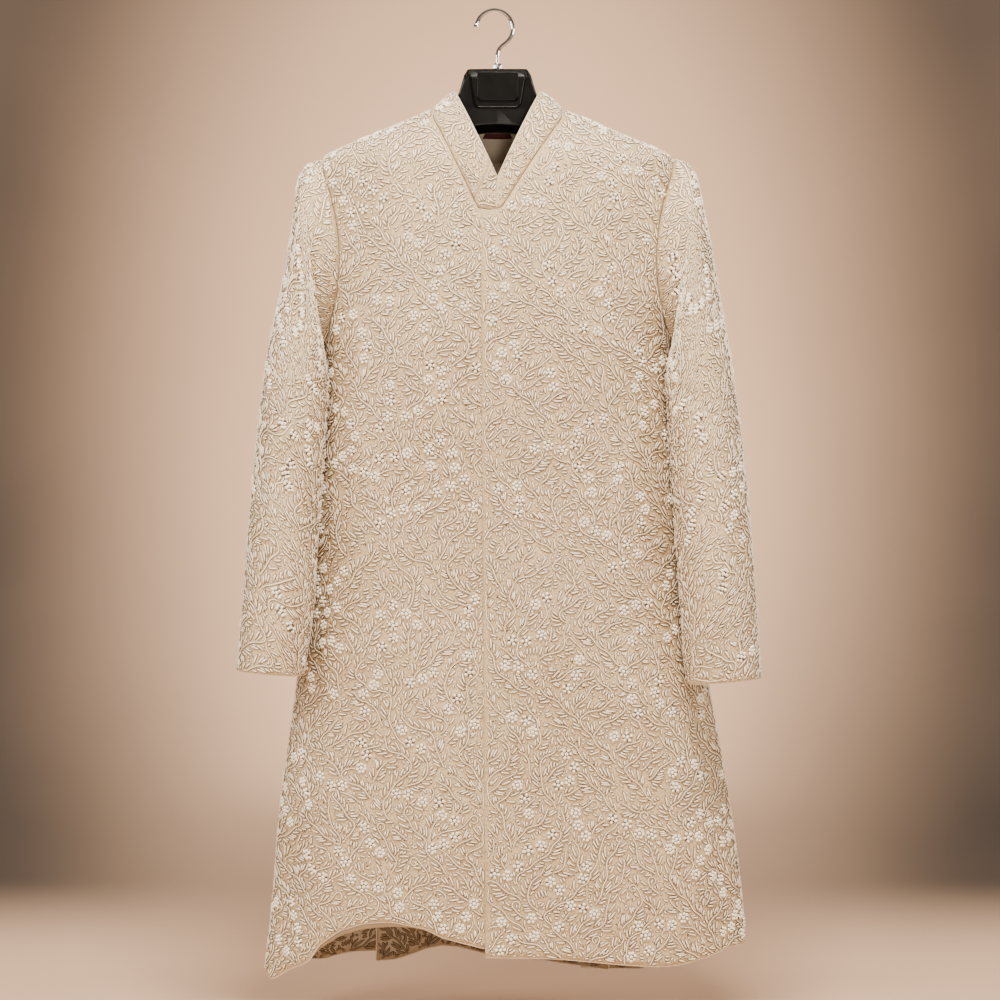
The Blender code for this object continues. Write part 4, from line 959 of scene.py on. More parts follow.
class Canvas:                              # what is still free on a panel
    def __init__(self, cloth, edge, bare):
        step, cell = patternForm["step"], patternForm["cell"]
        self.u, self.v, self.cell = cloth["u"], cloth["v"], cell
        tall = int((cloth["inside"].shape[0] - 1) * step / cell)
        wide = int((cloth["inside"].shape[1] - 1) * step / cell)
        u, v = np.meshgrid(self.u + np.arange(wide) * cell, self.v + np.arange(tall) * cell)
        free = readMap(cloth, "inside", u, v) > edge
        if bare:
            free &= ~bare(readMap(cloth, "place", u, v))
        self.wide, self.tall = wide, tall
        self.area = float(free.sum()) * cell * cell
        self.spots = np.argwhere(free)
        self.free = bytearray(free.astype(np.uint8).tobytes())

    def at(self, u, v):
        column, row = int((u - self.u) / self.cell + 0.5), int((v - self.v) / self.cell + 0.5)
        if 0 <= column < self.wide and 0 <= row < self.tall:
            return self.free[row * self.wide + column]
        return 0

    def mark(self, u, v, radius):
        reach = int(radius / self.cell + 0.99)
        column, row = int((u - self.u) / self.cell + 0.5), int((v - self.v) / self.cell + 0.5)
        limit = (radius / self.cell)**2
        for dr in range(-reach, reach + 1):
            r = row + dr
            if not 0 <= r < self.tall:
                continue
            for dc in range(-reach, reach + 1):
                c = column + dc
                if 0 <= c < self.wide and dr * dr + dc * dc <= limit:
                    self.free[r * self.wide + c] = 0

    def clear(self, u, v, radius):
        reach = radius * 0.72
        return all(self.at(u + du, v + dv) for du, dv in
                   ((0, 0), (radius, 0), (-radius, 0), (0, radius), (0, -radius),
                    (reach, reach), (-reach, reach), (reach, -reach), (-reach, -reach)))


def arcPath(u, v, heading, length, bend, count):   # a gently curved stroke; v runs down
    points = [(u, v)]
    step = length / (count - 1)
    for k in range(count - 1):
        turn = heading + bend * (k + 0.5) / (count - 1)
        u, v = u + step * math.cos(turn), v - step * math.sin(turn)
        points.append((u, v))
    return points


def tryLeaf(canvas, found, u, v, heading, length, bend, half):
    for share in (1.0, 0.85, 0.7, 0.57, 0.46, 0.37):
        long = length * share
        if long < patternForm["leafLeast"]:
            return False
        count = max(4, int(long / 0.0011))
        path = arcPath(u, v, heading, long, bend * share, count)
        if all(canvas.at(*point) for point in path[1:]):
            for point in path:
                canvas.mark(point[0], point[1], 0.00195)
            found["leaves"].append((u, v, heading, long, bend * share, half))
            return True
    return False


def placeClusters(rng, canvas, found, anywhere, clusters):
    form = patternForm
    groups = []
    for _ in range(int(canvas.area * clusters * 9)):
        if len(groups) >= canvas.area * clusters:
            break
        u, v = anywhere()
        if any(math.hypot(u - a, v - b) < form["groupApart"] for a, b in groups):
            continue
        groups.append((u, v))
        heading = rng.uniform(0, 2 * math.pi)
        for _ in range(rng.choice((2, 3, 3, 4))):
            if canvas.clear(u, v, form["clusterClear"]):
                petals = rng.choice(form["petals"])
                start = rng.uniform(0, 2 * math.pi)
                # a disc of painted shade goes under each cluster, for the dark gaps between the pearls
                found["shadePads"].append((u, v, 1.0))
                found["pearls"].append((u, v, 1.08))
                for k in range(petals):
                    angle = start + 2 * math.pi * k / petals + rng.uniform(-0.12, 0.12)
                    ring = form["clusterRing"] * rng.uniform(0.94, 1.05)
                    found["pearls"].append((u + ring * math.cos(angle), v + ring * math.sin(angle),
                                            rng.uniform(0.86, 1.04)))
                canvas.mark(u, v, form["clusterClear"] * 1.02)
            gap = rng.uniform(0.0140, 0.0190)
            heading += rng.uniform(-1.0, 1.0)
            u, v = u + gap * math.cos(heading), v + gap * math.sin(heading)


def growStem(rng, canvas, lanes, u, v, course, back, length):
    step = patternForm["stemStep"]
    joins = rng.choice((0, 0, 2, 5))                   # how far an end may run on towards another stem
    path = []
    while len(path) * step < length:
        heading = course(u, v) + (math.pi if back else 0.0)
        for dodge in (0.0, 0.35, -0.35, 0.75, -0.75):
            a, b = u + step * math.cos(heading + dodge), v - step * math.sin(heading + dodge)
            if canvas.at(a, b) and canvas.at((a + u) / 2, (b + v) / 2):
                break
        else:
            break
        if not lanes.at(a, b):
            joins -= 1
            if joins < 0:
                break
        u, v = a, b
        path.append((u, v))
    return path


def growPattern(cloth, seed, density, bare=None, lean=0.95, clusters=300):
    rng = random.Random(seed)
    form = patternForm
    canvas = Canvas(cloth, form["edge"], bare)
    found = {"leaves": [], "stems": [], "pearls": [], "shadePads": [], "dots": []}
    spots = canvas.spots
    if not len(spots):
        return found

    def anywhere():
        row, column = spots[rng.randrange(len(spots))]
        return canvas.u + column * canvas.cell, canvas.v + row * canvas.cell

    placeClusters(rng, canvas, found, anywhere, clusters)
    for _ in range(int(canvas.area * 750) if clusters else 0):       # small dark sequins
        u, v = anywhere()
        if canvas.clear(u, v, 0.002):
            found["dots"].append((u, v, rng.uniform(0.75, 1.15)))
            canvas.mark(u, v, 0.0014)
    waves = [(rng.uniform(26, 72) * rng.choice((-1, 1)), rng.uniform(24, 66), rng.uniform(0, 6.3))
             for _ in range(4)]
    small = [(rng.uniform(120, 210) * rng.choice((-1, 1)), rng.uniform(120, 210), rng.uniform(0, 6.3))
             for _ in range(2)]

    def course(u, v):                                  # the stems lean both ways, in patches
        broad = sum(math.sin(a * u + b * v + c) for a, b, c in waves)
        sway = sum(math.sin(a * u + b * v + c) for a, b, c in small)
        return math.pi / 2 + lean * math.tanh(1.6 * broad) + 0.28 * sway

    lanes = Canvas(cloth, form["edge"], bare)
    for _ in range(int(canvas.area * 9000)):
        u, v = anywhere()
        if not (lanes.at(u, v) and canvas.clear(u, v, 0.002)):
            continue
        length = rng.uniform(0.025, 0.09)
        ahead = growStem(rng, canvas, lanes, u, v, course, False, length)
        behind = growStem(rng, canvas, lanes, u, v, course, True, length)
        path = behind[::-1] + [(u, v)] + ahead
        if len(path) < 5:
            continue
        if rng.random() < 0.25:                        # the end curls over
            heading = math.atan2(path[-2][1] - path[-1][1], path[-1][0] - path[-2][0])
            turn = rng.choice((-1, 1)) * rng.uniform(0.45, 0.7)
            u, v = path[-1]
            for k in range(9):
                heading += turn
                u, v = u + 0.0022 * math.cos(heading), v - 0.0022 * math.sin(heading)
                if not canvas.at(u, v):
                    break
                path.append((u, v))
        found["stems"].append(path)
        for a, b in path:
            canvas.mark(a, b, 0.0015)
            lanes.mark(a, b, form["stemApart"] * rng.uniform(0.85, 1.15))

    buds = []                                          # leaves on both sides of every stem
    for path in found["stems"]:
        place, total = 0.0, (len(path) - 1) * form["stemStep"]
        while place < total:
            k = min(int(place / form["stemStep"]), len(path) - 2)
            heading = math.atan2(path[k][1] - path[k + 1][1], path[k + 1][0] - path[k][0])
            buds.append((path[k][0], path[k][1], heading, rng.choice((-1, 1))))
            place += form["leafGap"] * rng.uniform(0.95, 1.12) / density
    for a, b, heading, first in sorted(buds, key=lambda bud: round(bud[1] / 0.03)):
        for tilt in (first, -first):
            lift = heading + tilt * math.radians(rng.uniform(38, 54))
            u, v = a + 0.0021 * math.cos(lift), b - 0.0021 * math.sin(lift)
            tryLeaf(canvas, found, u, v, lift, form["leafLong"] * rng.uniform(0.75, 1.08),
                    -tilt * rng.uniform(0.2, 0.6), form["leafHalf"] * rng.uniform(0.92, 1.12))

    for _ in range(int(canvas.area * 50000)):          # sprigs of parallel leaves between them
        u, v = anywhere()
        if not canvas.at(u, v):
            continue
        heading = course(u, v) + rng.choice((-1, 1)) * math.radians(rng.uniform(30, 65))
        bend = rng.uniform(-0.6, 0.6)
        long = rng.uniform(0.008, 0.0135)
        across = heading + math.pi / 2
        gap = form["leafGap"] / density
        for k in range(rng.choice((1, 2, 3, 4))):
            if not tryLeaf(canvas, found, u, v, heading, long * rng.uniform(0.85, 1.1), bend,
                           form["leafHalf"] * rng.uniform(0.9, 1.08)):
                break
            u, v = u + gap * math.cos(across), v - gap * math.sin(across)

    for _ in range(int(canvas.area * 70000 * density)):          # short stitches in the gaps
        u, v = anywhere()
        if canvas.at(u, v):
            tryLeaf(canvas, found, u, v, rng.uniform(0, math.pi), rng.uniform(0.0052, 0.0085),
                    rng.uniform(-0.6, 0.6), form["leafHalf"] * 0.9)
    return found


def template(kind, segments=4):            # one stitch or bead, as points and faces
    form = bmesh.new()
    if kind == "leaf":
        bmesh.ops.create_grid(form, x_segments=2, y_segments=segments, size=1.0)
        for end in (-1.0, 1.0):
            row = [v for v in form.verts if abs(v.co.y - end) < 1e-4]
            bmesh.ops.pointmerge(form, verts=row, merge_co=Vector((0.0, end, 0.0)))
    elif kind == "cord":
        bmesh.ops.create_grid(form, x_segments=2, y_segments=1, size=1.0)
    elif kind == "shadePad":
        bmesh.ops.create_circle(form, cap_ends=True, cap_tris=True, segments=segments, radius=1.0)
    else:
        bmesh.ops.create_uvsphere(form, u_segments=segments, v_segments=4, radius=1.0)
        low = [v for v in form.verts if v.co.z < -0.1]
        bmesh.ops.delete(form, geom=low, context="VERTS")
    form.verts.ensure_lookup_table()
    form.verts.index_update()
    points = np.array([v.co for v in form.verts])
    faces = [[v.index for v in face.verts] for face in form.faces]
    form.free()
    return points, faces


def copiesOf(points, shapeFaces, raised, tint):        # many copies of a template, ready to join
    shape, faces = shapeFaces
    copies = len(points) // len(shape)
    sizesOf = np.array([len(face) for face in faces])
    flat = np.concatenate([np.array(face) for face in faces])
    loops = (flat[None, :] + (np.arange(copies) * len(shape))[:, None]).ravel()
    totals = np.tile(sizesOf, copies)
    starts = np.concatenate([[0], np.cumsum(totals)[:-1]])
    return points, loops, totals, starts, raised, tint


def meshFromParts(name, parts, slots):
    points = np.concatenate([part[0] for part in parts])
    mesh = bpy.data.meshes.new(name)
    mesh.vertices.add(len(points))
    mesh.vertices.foreach_set("co", points.astype(np.float32).ravel())
    loopBase, vertBase = 0, 0
    loops, totals, starts = [], [], []
    for part in parts:
        loops.append(part[1] + vertBase)
        starts.append(part[3] + loopBase)
        totals.append(part[2])
        loopBase += len(part[1])
        vertBase += len(part[0])
    loops, starts, totals = np.concatenate(loops), np.concatenate(starts), np.concatenate(totals)
    mesh.loops.add(len(loops))
    mesh.loops.foreach_set("vertex_index", loops.astype(np.int32))
    mesh.polygons.add(len(starts))
    mesh.polygons.foreach_set("loop_start", starts.astype(np.int32))
    mesh.polygons.foreach_set("use_smooth", np.ones(len(starts), bool))
    for key, place in (("raise", 4), ("tint", 5)):
        layer = mesh.attributes.new(key, "FLOAT", "POINT")
        layer.data.foreach_set("value", np.concatenate([part[place] for part in parts]).astype(np.float32))
    mesh.update(calc_edges=True)
    mesh.validate()
    thing = bpy.data.objects.new(name, mesh)
    bpy.context.scene.collection.objects.link(thing)
    for slot in slots:
        mesh.materials.append(slot)
    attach(thing, "root")
    return thing


leafShapes = {3: template("leaf", 3), 4: template("leaf", 4)}
cordShape = template("cord")
beadShape = template("bead", 7)
dotShape = template("bead", 5)
# a flat disc that carries the painted shade under the pearl clusters
shadePadShape = template("shadePad", 9)
rowWidth = {3: [0.0, 1.0, 0.9, 0.0], 4: [0.0, 0.9, 1.0, 0.82, 0.0]}


def leafPart(cloth, leaves, segments, tints):
    shape, faces = leafShapes[segments]
    data = np.array(leaves)
    u, v, heading, long, bend, half = data.T
    across, along = shape[:, 0], (shape[:, 1] + 1) / 2
    station = np.round(along * segments).astype(int)
    width = np.array(rowWidth[segments])[station]
    fine = 12
    t = (np.arange(fine) + 0.5) / fine
    turn = heading[:, None] + bend[:, None] * t[None, :]
    stepU = np.cos(turn) * (long / fine)[:, None]
    stepV = -np.sin(turn) * (long / fine)[:, None]
    pathU = u[:, None] + np.concatenate([np.zeros((len(u), 1)), stepU.cumsum(axis=1)], axis=1)
    pathV = v[:, None] + np.concatenate([np.zeros((len(u), 1)), stepV.cumsum(axis=1)], axis=1)
    where = np.round(along * fine).astype(int)
    direction = heading[:, None] + bend[:, None] * along[None, :]
    off = across[None, :] * width[None, :] * half[:, None]
    pu = pathU[:, where] + off * np.sin(direction)
    pv = pathV[:, where] + off * np.cos(direction)
    crest = (np.abs(across) < 0.1) & (width > 0)
    lift = np.where(crest, patternForm["rise"], -patternForm["sunk"])[None, :]
    lift = lift * np.clip(long / 0.009, 0.7, 1.1)[:, None]
    points = readMap(cloth, "place", pu, pv) + readMap(cloth, "normal", pu, pv) * lift[..., None]
    raised = np.where(crest, 1.0, 0.0)[None, :] * np.ones((len(u), 1))
    tint = np.repeat(tints[:, None], len(shape), axis=1)
    return copiesOf(points.reshape(-1, 3), (shape, faces), raised.ravel(), tint.ravel())


def stemPart(cloth, stems):
    shape, faces = cordShape
    first, second, before, after = [], [], [], []
    for path in stems:
        path = np.array(path)
        tangent = np.gradient(path, axis=0)
        tangent /= np.maximum(np.linalg.norm(tangent, axis=1, keepdims=True), 1e-9)
        first.append(path[:-1])
        second.append(path[1:])
        before.append(tangent[:-1])
        after.append(tangent[1:])
    first, second = np.concatenate(first), np.concatenate(second)
    before, after = np.concatenate(before), np.concatenate(after)
    share = ((shape[:, 1] + 1) / 2)[None, :, None]
    middle = first[:, None] * (1 - share) + second[:, None] * share
    tangent = before[:, None] * (1 - share) + after[:, None] * share
    off = (shape[:, 0] * patternForm["stemHalf"])[None, :]
    pu = middle[..., 0] - tangent[..., 1] * off
    pv = middle[..., 1] + tangent[..., 0] * off
    crest = np.abs(shape[:, 0]) < 0.1
    lift = np.where(crest, patternForm["rise"] * 0.95, -patternForm["sunk"])
    points = readMap(cloth, "place", pu, pv) + readMap(cloth, "normal", pu, pv) * lift[None, :, None]
    raised = np.tile(np.where(crest, 1.0, 0.0), len(first))
    tint = np.full(len(raised), 0.6)
    return copiesOf(points.reshape(-1, 3), (shape, faces), raised, tint)


def beadPart(cloth, beads, shapeFaces, radius, flatten, lift):
    shape, faces = shapeFaces
    u, v, size = np.array(beads).T
    base, normal = readMap(cloth, "place", u, v), readMap(cloth, "normal", u, v)
    aside = np.cross(normal, np.array([0.0, 0.0, 1.0]))
    aside /= np.maximum(np.linalg.norm(aside, axis=-1, keepdims=True), 1e-6)
    other = np.cross(normal, aside)
    reach = (size * radius)[:, None, None]
    points = base[:, None] + reach * (shape[None, :, :1] * aside[:, None] + shape[None, :, 1:2] * other[:, None]
                                      + shape[None, :, 2:] * flatten * normal[:, None]) + lift * normal[:, None]
    raised = np.tile(shape[:, 2], len(u))
    tint = np.repeat(np.abs(np.sin(u * 9000 + v * 7000)), len(shape))
    return copiesOf(points.reshape(-1, 3), (shape, faces), raised, tint)


def embroider(name, cloth, seed, slot, density=1.0, fine=True, bare=None, clusters=300, lean=0.95,
              stitch=thread):
    found = growPattern(cloth, seed, density, bare, lean, clusters)
    rng = np.random.default_rng(seed)
    parts = []
    leaves = found["leaves"]
    limit = 0.0075 if fine else 0.0120                 # longer leaves get one more row
    long = [leaf for leaf in leaves if leaf[3] > limit]
    short = [leaf for leaf in leaves if leaf[3] <= limit]
    for group, segments in ((long, 4), (short, 3)):
        if group:
            parts.append(leafPart(cloth, group, segments, rng.random(len(group))))
    if found["stems"]:
        parts.append(stemPart(cloth, found["stems"]))
    if found["shadePads"]:                                  # painted shade: a flat disc in the shade colour under each cluster of pearls
        parts.append(beadPart(cloth, found["shadePads"], shadePadShape, patternForm["shadePad"], 0.0, 0.0005))
    made = [meshFromParts(name + "Stitches", parts, [stitch])]
    if found["pearls"]:
        beads = beadPart(cloth, found["pearls"], beadShape, patternForm["pearl"], 1.0, 0.0009)
        made.append(meshFromParts(name + "Pearls", [beads], [pearl]))
    if found["dots"]:
        beads = beadPart(cloth, found["dots"], dotShape, patternForm["sequin"], 0.6, 0.0004)
        made.append(meshFromParts(name + "Dots", [beads], [darkBead]))
    print(name, "embroidered:", len(leaves), "leaves,", len(found["stems"]), "stems,",
          len(found["pearls"]), "pearls,", sum(len(thing.data.loops) - 2 * len(thing.data.polygons) for thing in made), "triangles")
    return made


def bodyMap(low, high, start, end, hem, depth, reference, top=neckLevel):
    rows = fineLevels(top, hemLevel - 0.001)
    dense = np.radians(np.linspace(low, high, 181))
    turns = np.repeat(dense[None, :], len(rows), axis=0)
    grid = np.repeat(rows[:, None], 181, axis=1)
    sunk = depth(turns, grid) if depth else 0.0
    points = shift(clothPoint(turns, grid, sunk, hem))
    starts = np.array([float(start(level)) for level in rows])[:, None]
    ends = np.array([float(end(level)) for level in rows])[:, None]
    lowEnd, highEnd = np.minimum(starts, ends), np.maximum(starts, ends)
    inside = np.minimum(turns - lowEnd, highEnd - turns) * bodyValue("front", grid)
    middle = int(np.argmin(np.abs(dense - math.radians(reference))))
    return patternMap(points, inside, middle)


def faceOut(cloth, axis):                  # the pattern's side faces away from the coat's axis
    away = cloth["place"] - np.array([axis[0], axis[1], 0.0])
    away[..., 2] = 0.0
    good = cloth["inside"] > 0
    if np.sum(cloth["normal"] * away, axis=-1)[good].sum() < 0:
        cloth["normal"] = -cloth["normal"]
    return cloth


maps = {}
mapForm = {                                # turns that the map spans, edges, hem, depth, middle, top
    "frontRight": (-12, 92, rightEdge, lambda level: sideEdge(level, 1.0), "frontRight", None, 0),
    "frontLeft": (-92, 16, leftEdge, lambda level: sideEdge(level, -1.0), "frontLeft", leftDepth, 0),
    "backMiddle": (88, 272, lambda level: middleEdge(level, "right"),
                   lambda level: middleEdge(level, "left"), "backMiddle", middleDepth, 180),
    "backSideRight": (88, 165, lambda level: sideEdge(level, 1.0, True),
                      lambda level: lapEdge(level, "right"), "backRight", None, 120, backs["sideTop"]),
    "backSideLeft": (-165, -88, lambda level: -lapEdge(level, "left"),
                     lambda level: -sideEdge(level, 1.0, True), "backLeft", None, -120, backs["sideTop"]),
}
for name, settings in mapForm.items():
    maps[name] = faceOut(bodyMap(*settings), (0, 0.03 if name.startswith("front") else -0.03))
for side in ("left", "right"):
    surface = sleeveSurface(side)[0]
    for part, low, high, middle in (("Upper", sleeveForm["backSeam"] - 360, sleeveForm["frontSeam"], 0.0),
                                    ("Under", sleeveForm["frontSeam"], sleeveForm["backSeam"], 187.5)):
        strip = sleeveStrip(surface, low - 6, high + 6)
        stops = np.linspace(low - 6, high + 6, strip.shape[1])
        width = np.linalg.norm(np.diff(strip, axis=1), axis=-1).mean(axis=1)[:, None]
        perDegree = width / (stops[1] - stops[0])
        inside = np.minimum(stops[None, :] - low, high - stops[None, :]) * perDegree
        name = "sleeve" + side.title() + part
        maps[name] = patternMap(strip, inside, int(np.argmin(np.abs(stops - middle))))
        grid = maps[name]
        spine = surface.mean(axis=1)
        nearest = np.array([np.interp(grid["place"][..., 2].ravel(), spine[::-1, 2], spine[::-1, k])
                            for k in range(3)])
        away = grid["place"] - nearest.T.reshape(grid["place"].shape)
        if np.sum(grid["normal"] * away, axis=-1)[grid["inside"] > 0].sum() < 0:
            grid["normal"] = -grid["normal"]

surface, outward, joinAt = collarSurface()
for name, low, high in (("collarBand", joinAt, surface.shape[1] - 1), ("collarEnd", 0, joinAt)):
    across = np.linalg.norm(np.diff(surface[4], axis=0), axis=-1).cumsum()
    across = np.concatenate([[0.0], across])
    inside = np.minimum(across - across[low], across[high] - across)[None, :] + np.zeros((len(surface), 1))
    first = max(low - 2, 0)
    last = min(high + 2, surface.shape[1] - 1)
    made = patternMap(surface[:, first:last + 1], inside[:, first:last + 1], (last - first) // 2)
    maps[name] = faceOut(made, (0, -0.02))
print("pattern maps made")


def underRight(points):                    # hidden under the right front
    return points[..., 0] > -0.0125


def aboveBand(points):                     # inside the back only the hem band is worked
    return points[..., 2] > -1.086


for name in ("backMiddle", "backSideLeft", "backSideRight"):
    inner = dict(maps[name])
    inner["place"] = inner["place"] - inner["normal"] * (bodyForm["cloth"] + 0.0001)
    inner["normal"] = -inner["normal"]
    maps[name + "Inside"] = inner


embroidery = {
    "frontRight": {"seed": 11, "slot": "ivory_brocade"},
    "frontLeft": {"seed": 23, "slot": "ivory_brocade", "bare": underRight},
    "sleeveLeftUpper": {"seed": 31, "slot": "ivory_brocade", "clusters": 200},
    "sleeveRightUpper": {"seed": 47, "slot": "ivory_brocade", "clusters": 200},
    "collarBand": {"seed": 53, "slot": "ivory_brocade", "clusters": 90},
    "collarEnd": {"seed": 59, "slot": "ivory_brocade", "clusters": 90},
    "backMiddle": {"seed": 61, "slot": "ivory_brocade", "density": 0.72, "fine": False},
    "backSideLeft": {"seed": 67, "slot": "ivory_brocade", "density": 0.72, "fine": False},
    "backSideRight": {"seed": 71, "slot": "ivory_brocade", "density": 0.72, "fine": False},
    "sleeveLeftUnder": {"seed": 73, "slot": "ivory_brocade", "density": 0.7, "fine": False, "clusters": 90},
    "sleeveRightUnder": {"seed": 79, "slot": "ivory_brocade", "density": 0.7, "fine": False, "clusters": 90},
}
work = {}
for name, settings in embroidery.items():
    work[name] = embroider(name, maps[name], **settings)

# The band inside the back takes the darker thread, painted shade for the coat's inside.
bandForm = {"seed": 91, "slot": "beige_lining", "clusters": 0, "lean": 0.7, "bare": aboveBand,
            "stitch": shadedBandThread}
for name in ("backMiddle", "backSideLeft", "backSideRight"):
    work[name] += embroider(name + "Inside", maps[name + "Inside"], **bandForm)

cordForm = {"radius": 0.0011, "sides": 3}


def edgeCord(name, path, radius=cordForm["radius"]):   # rolled piping along an edge
    curve = bpy.data.curves.new(name, "CURVE")
    curve.dimensions = "3D"
    curve.bevel_depth = radius
    curve.bevel_resolution = cordForm["sides"]
    curve.use_fill_caps = True
    line = curve.splines.new("POLY")
    line.points.add(len(path) - 1)
    for point, spot in zip(line.points, path):
        point.co = (*spot, 1.0)
    held = bpy.data.objects.new(name + "Line", curve)
    mesh = bpy.data.meshes.new_from_object(held)
    bpy.data.objects.remove(held)
    bpy.data.curves.remove(curve)
    mesh.materials.clear()
    mesh.materials.append(piping)
    for face in mesh.polygons:
        face.use_smooth = True
    thing = bpy.data.objects.new(name, mesh)
    bpy.context.scene.collection.objects.link(thing)
    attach(thing, "root")
    return thing


half = bodyForm["cloth"] * 0.5
for name in ("frontRight", "frontLeft", "backMiddle", "backSideLeft", "backSideRight"):
    surface, outward = panels[name]
    work[name].append(edgeCord(name + "Hem", surface[-1] - outward[-1] * half))
surface, outward = panels["backMiddle"]
low = surface[:, 0, 2] < -0.80
for side, column in (("Right", 0), ("Left", -1)):
    path = surface[low, column] - outward[low, column] * half
    work["backMiddle"].append(edgeCord("backMiddleVent" + side, path))
for side in ("Left", "Right"):
    for part in ("Upper", "Under"):
        name = "sleeve" + side + part
        surface, outward = panels[name]
        work[name].append(edgeCord(name + "Cuff", surface[-1] - outward[-1] * half, 0.0009))
surface, outward = panels["collar"]
rim = surface[0] if surface[0, :, 2].mean() > surface[-1, :, 2].mean() else surface[-1]
facing = outward[0] if surface[0, :, 2].mean() > surface[-1, :, 2].mean() else outward[-1]
rim = rim - facing * collarForm["cloth"] * 0.5
work["collarBand"].append(edgeCord("collarBandEdge", rim[joinAt:], 0.0010))
work["collarEnd"].append(edgeCord("collarEndEdge", rim[:joinAt + 1], 0.0010))
print("piping made")

dressed = {
    frontRight: ("front_right", "ivory_brocade", fronts["flatRight"], 0.31),
    frontLeft: ("front_left", "ivory_brocade", fronts["flatLeft"], 0.33),
    backMiddle: ("back_middle", "ivory_brocade", backs["flatMiddle"], 0.40),
    backSides["left"]: ("back_side_left", "ivory_brocade", backs["flatSide"], 0.14),
    backSides["right"]: ("back_side_right", "ivory_brocade", backs["flatSide"], 0.14),
    sleeves["leftUpper"]: ("sleeve_left_upper", "ivory_brocade", (0.29, 0.64), 0.15),
    sleeves["rightUpper"]: ("sleeve_right_upper", "ivory_brocade", (0.29, 0.64), 0.15),
    sleeves["leftUnder"]: ("sleeve_left_under", "ivory_brocade", (0.13, 0.46), 0.045),
    sleeves["rightUnder"]: ("sleeve_right_under", "ivory_brocade", (0.13, 0.46), 0.045),
    collarBand: ("collar", "ivory_brocade", (0.50, 0.045), None),
    collarEnd: ("collar_end", "ivory_brocade", (0.036, 0.040), None),
    neckLining: ("neck_lining", "beige_lining", (0.21, 0.13), None),
    neckLabel: ("neck_label", "red_label", (0.037, 0.010), None),
    hemFacing: ("hem_facing", "beige_lining", (0.16, 0.04), None),
}
for thing, (node, slot, flat, area) in dressed.items():
    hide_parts(node)

stageForm = {"floor": -1.205, "wall": 1.25, "bend": 0.9, "left": -5.0, "right": 5.0, "near": -6.0, "top": 3.5}
form = bmesh.new()
profile = [(stageForm["near"], stageForm["floor"])]
for k in range(25):
    angle = math.pi / 2 * k / 24
    profile.append((stageForm["wall"] - stageForm["bend"] * (1 - math.sin(angle)),
                    stageForm["floor"] + stageForm["bend"] * (1 - math.cos(angle))))
profile.append((stageForm["wall"], stageForm["top"]))
verts = [form.verts.new((stageForm["left"], y, z)) for y, z in profile]
edges = [form.edges.new(pair) for pair in zip(verts[:-1], verts[1:])]
made = bmesh.ops.extrude_edge_only(form, edges=edges)
bmesh.ops.translate(form, vec=(stageForm["right"] - stageForm["left"], 0, 0),
                    verts=[v for v in made["geom"] if isinstance(v, bmesh.types.BMVert)])
form.faces.ensure_lookup_table()
form.normal_update()
if form.faces[0].normal.z < 0:     # the upper side is the one in view
    bmesh.ops.reverse_faces(form, faces=form.faces)
for face in form.faces:
    face.smooth = True
material, shader, graph = newMaterial("backdrop", 0.85)
place = graph.node("TexCoord", out=3)
cloud = graph.node("TexNoise", {}, {"Vector": place, "Scale": 1.3, "Detail": 3.0})
across = graph.node("SeparateXYZ", {}, {0: place}, out=0)
height = graph.node("SeparateXYZ", {}, {0: place}, out=2)
rise = (height + 0.45) * 0.6
away = graph.maths("SQRT", across * across + rise * rise)
paintedVignette = away.ranged(0.12, 0.84) * height.ranged(-1.23, -1.12)   # painted vignette: the backdrop is darker far from the coat, a painted pool of light around it; the floor stays pale
paintedVignette = (paintedVignette * 0.96 + (cloud - 0.5) * 0.16).clamped()
join(paintedVignette.blend(rgb(212, 176, 146), rgb(34, 24, 17)), shader, "Base Color")
join(1.0 - graph.node("NewGeometry", out=6), shader, "Alpha")  # open from behind, to show the back
sweep = linkMesh("sweep", form, [material])

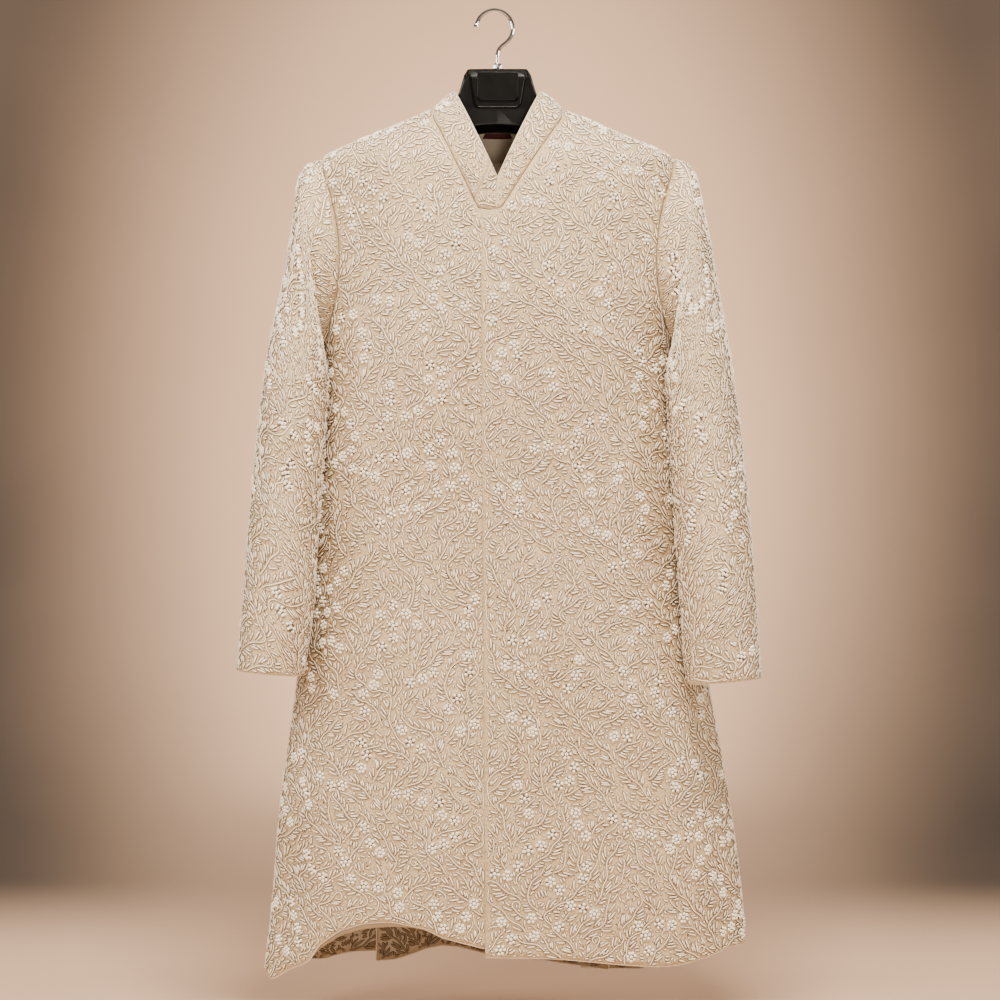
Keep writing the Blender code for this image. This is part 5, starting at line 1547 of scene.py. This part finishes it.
lightForm = {
    "key": ((-1.5, -2.4, 0.9), (0.0, 0.0, -0.5), 0.9, 55.0, (1.0, 0.91, 0.79)),
    "top": ((0.1, -1.4, 1.7), (0.0, 0.0, -0.4), 0.8, 168.0, (1.0, 0.92, 0.81)),
    "fill": ((2.2, -2.6, -0.3), (0.0, 0.0, -0.6), 1.8, 22.0, (1.0, 0.90, 0.77)),
    "front": ((0.2, -3.6, -0.8), (0.0, 0.0, -0.2), 0.4, 38.0, (1.0, 0.90, 0.77)),
    "sideLeft": ((-2.2, -0.9, -0.1), (0.0, 0.0, -0.4), 0.7, 21.0, (1.0, 0.93, 0.83)),
    "sideRight": ((2.2, -0.9, -0.1), (0.0, 0.0, -0.4), 0.7, 17.0, (1.0, 0.93, 0.83)),
    "behindLeft": ((-1.4, 1.0, 0.4), (0.0, 0.0, -0.5), 1.0, 16.0, (1.0, 0.95, 0.88)),
    "behindRight": ((1.4, 1.0, 0.4), (0.0, 0.0, -0.5), 1.0, 16.0, (1.0, 0.95, 0.88)),
    "glow": ((0.0, 0.75, -0.55), (0.0, 1.3, -0.45), 0.8, 5.0, (1.0, 0.84, 0.70)),
}
for name, (spot, aim, size, power, colour) in lightForm.items():
    lamp = bpy.data.lights.new(name, "AREA")
    lamp.size = size
    lamp.energy = power
    lamp.color = colour
    thing = bpy.data.objects.new(name, lamp)
    thing.location = spot
    thing.rotation_euler = (Vector(aim) - Vector(spot)).to_track_quat("-Z", "Y").to_euler()
    bpy.context.scene.collection.objects.link(thing)
world = bpy.data.worlds.new("studio")
world.use_nodes = True
world.node_tree.nodes["Background"].inputs[0].default_value = (1.0, 0.88, 0.76, 1.0)
world.node_tree.nodes["Background"].inputs[1].default_value = 0.14
bpy.context.scene.world = world

cameraForm = {"spot": (0.0066, -4.0, -0.5856), "lens": 120.0, "sensor": 36.0}
lens = bpy.data.cameras.new("camera")
lens.lens = cameraForm["lens"]
lens.sensor_width = cameraForm["sensor"]
lens.clip_end = 30.0
camera = bpy.data.objects.new("camera", lens)
camera.location = cameraForm["spot"]
camera.rotation_euler = (math.pi / 2, 0.0, 0.0)
bpy.context.scene.collection.objects.link(camera)
bpy.context.scene.camera = camera
print("stage, lights and camera set")
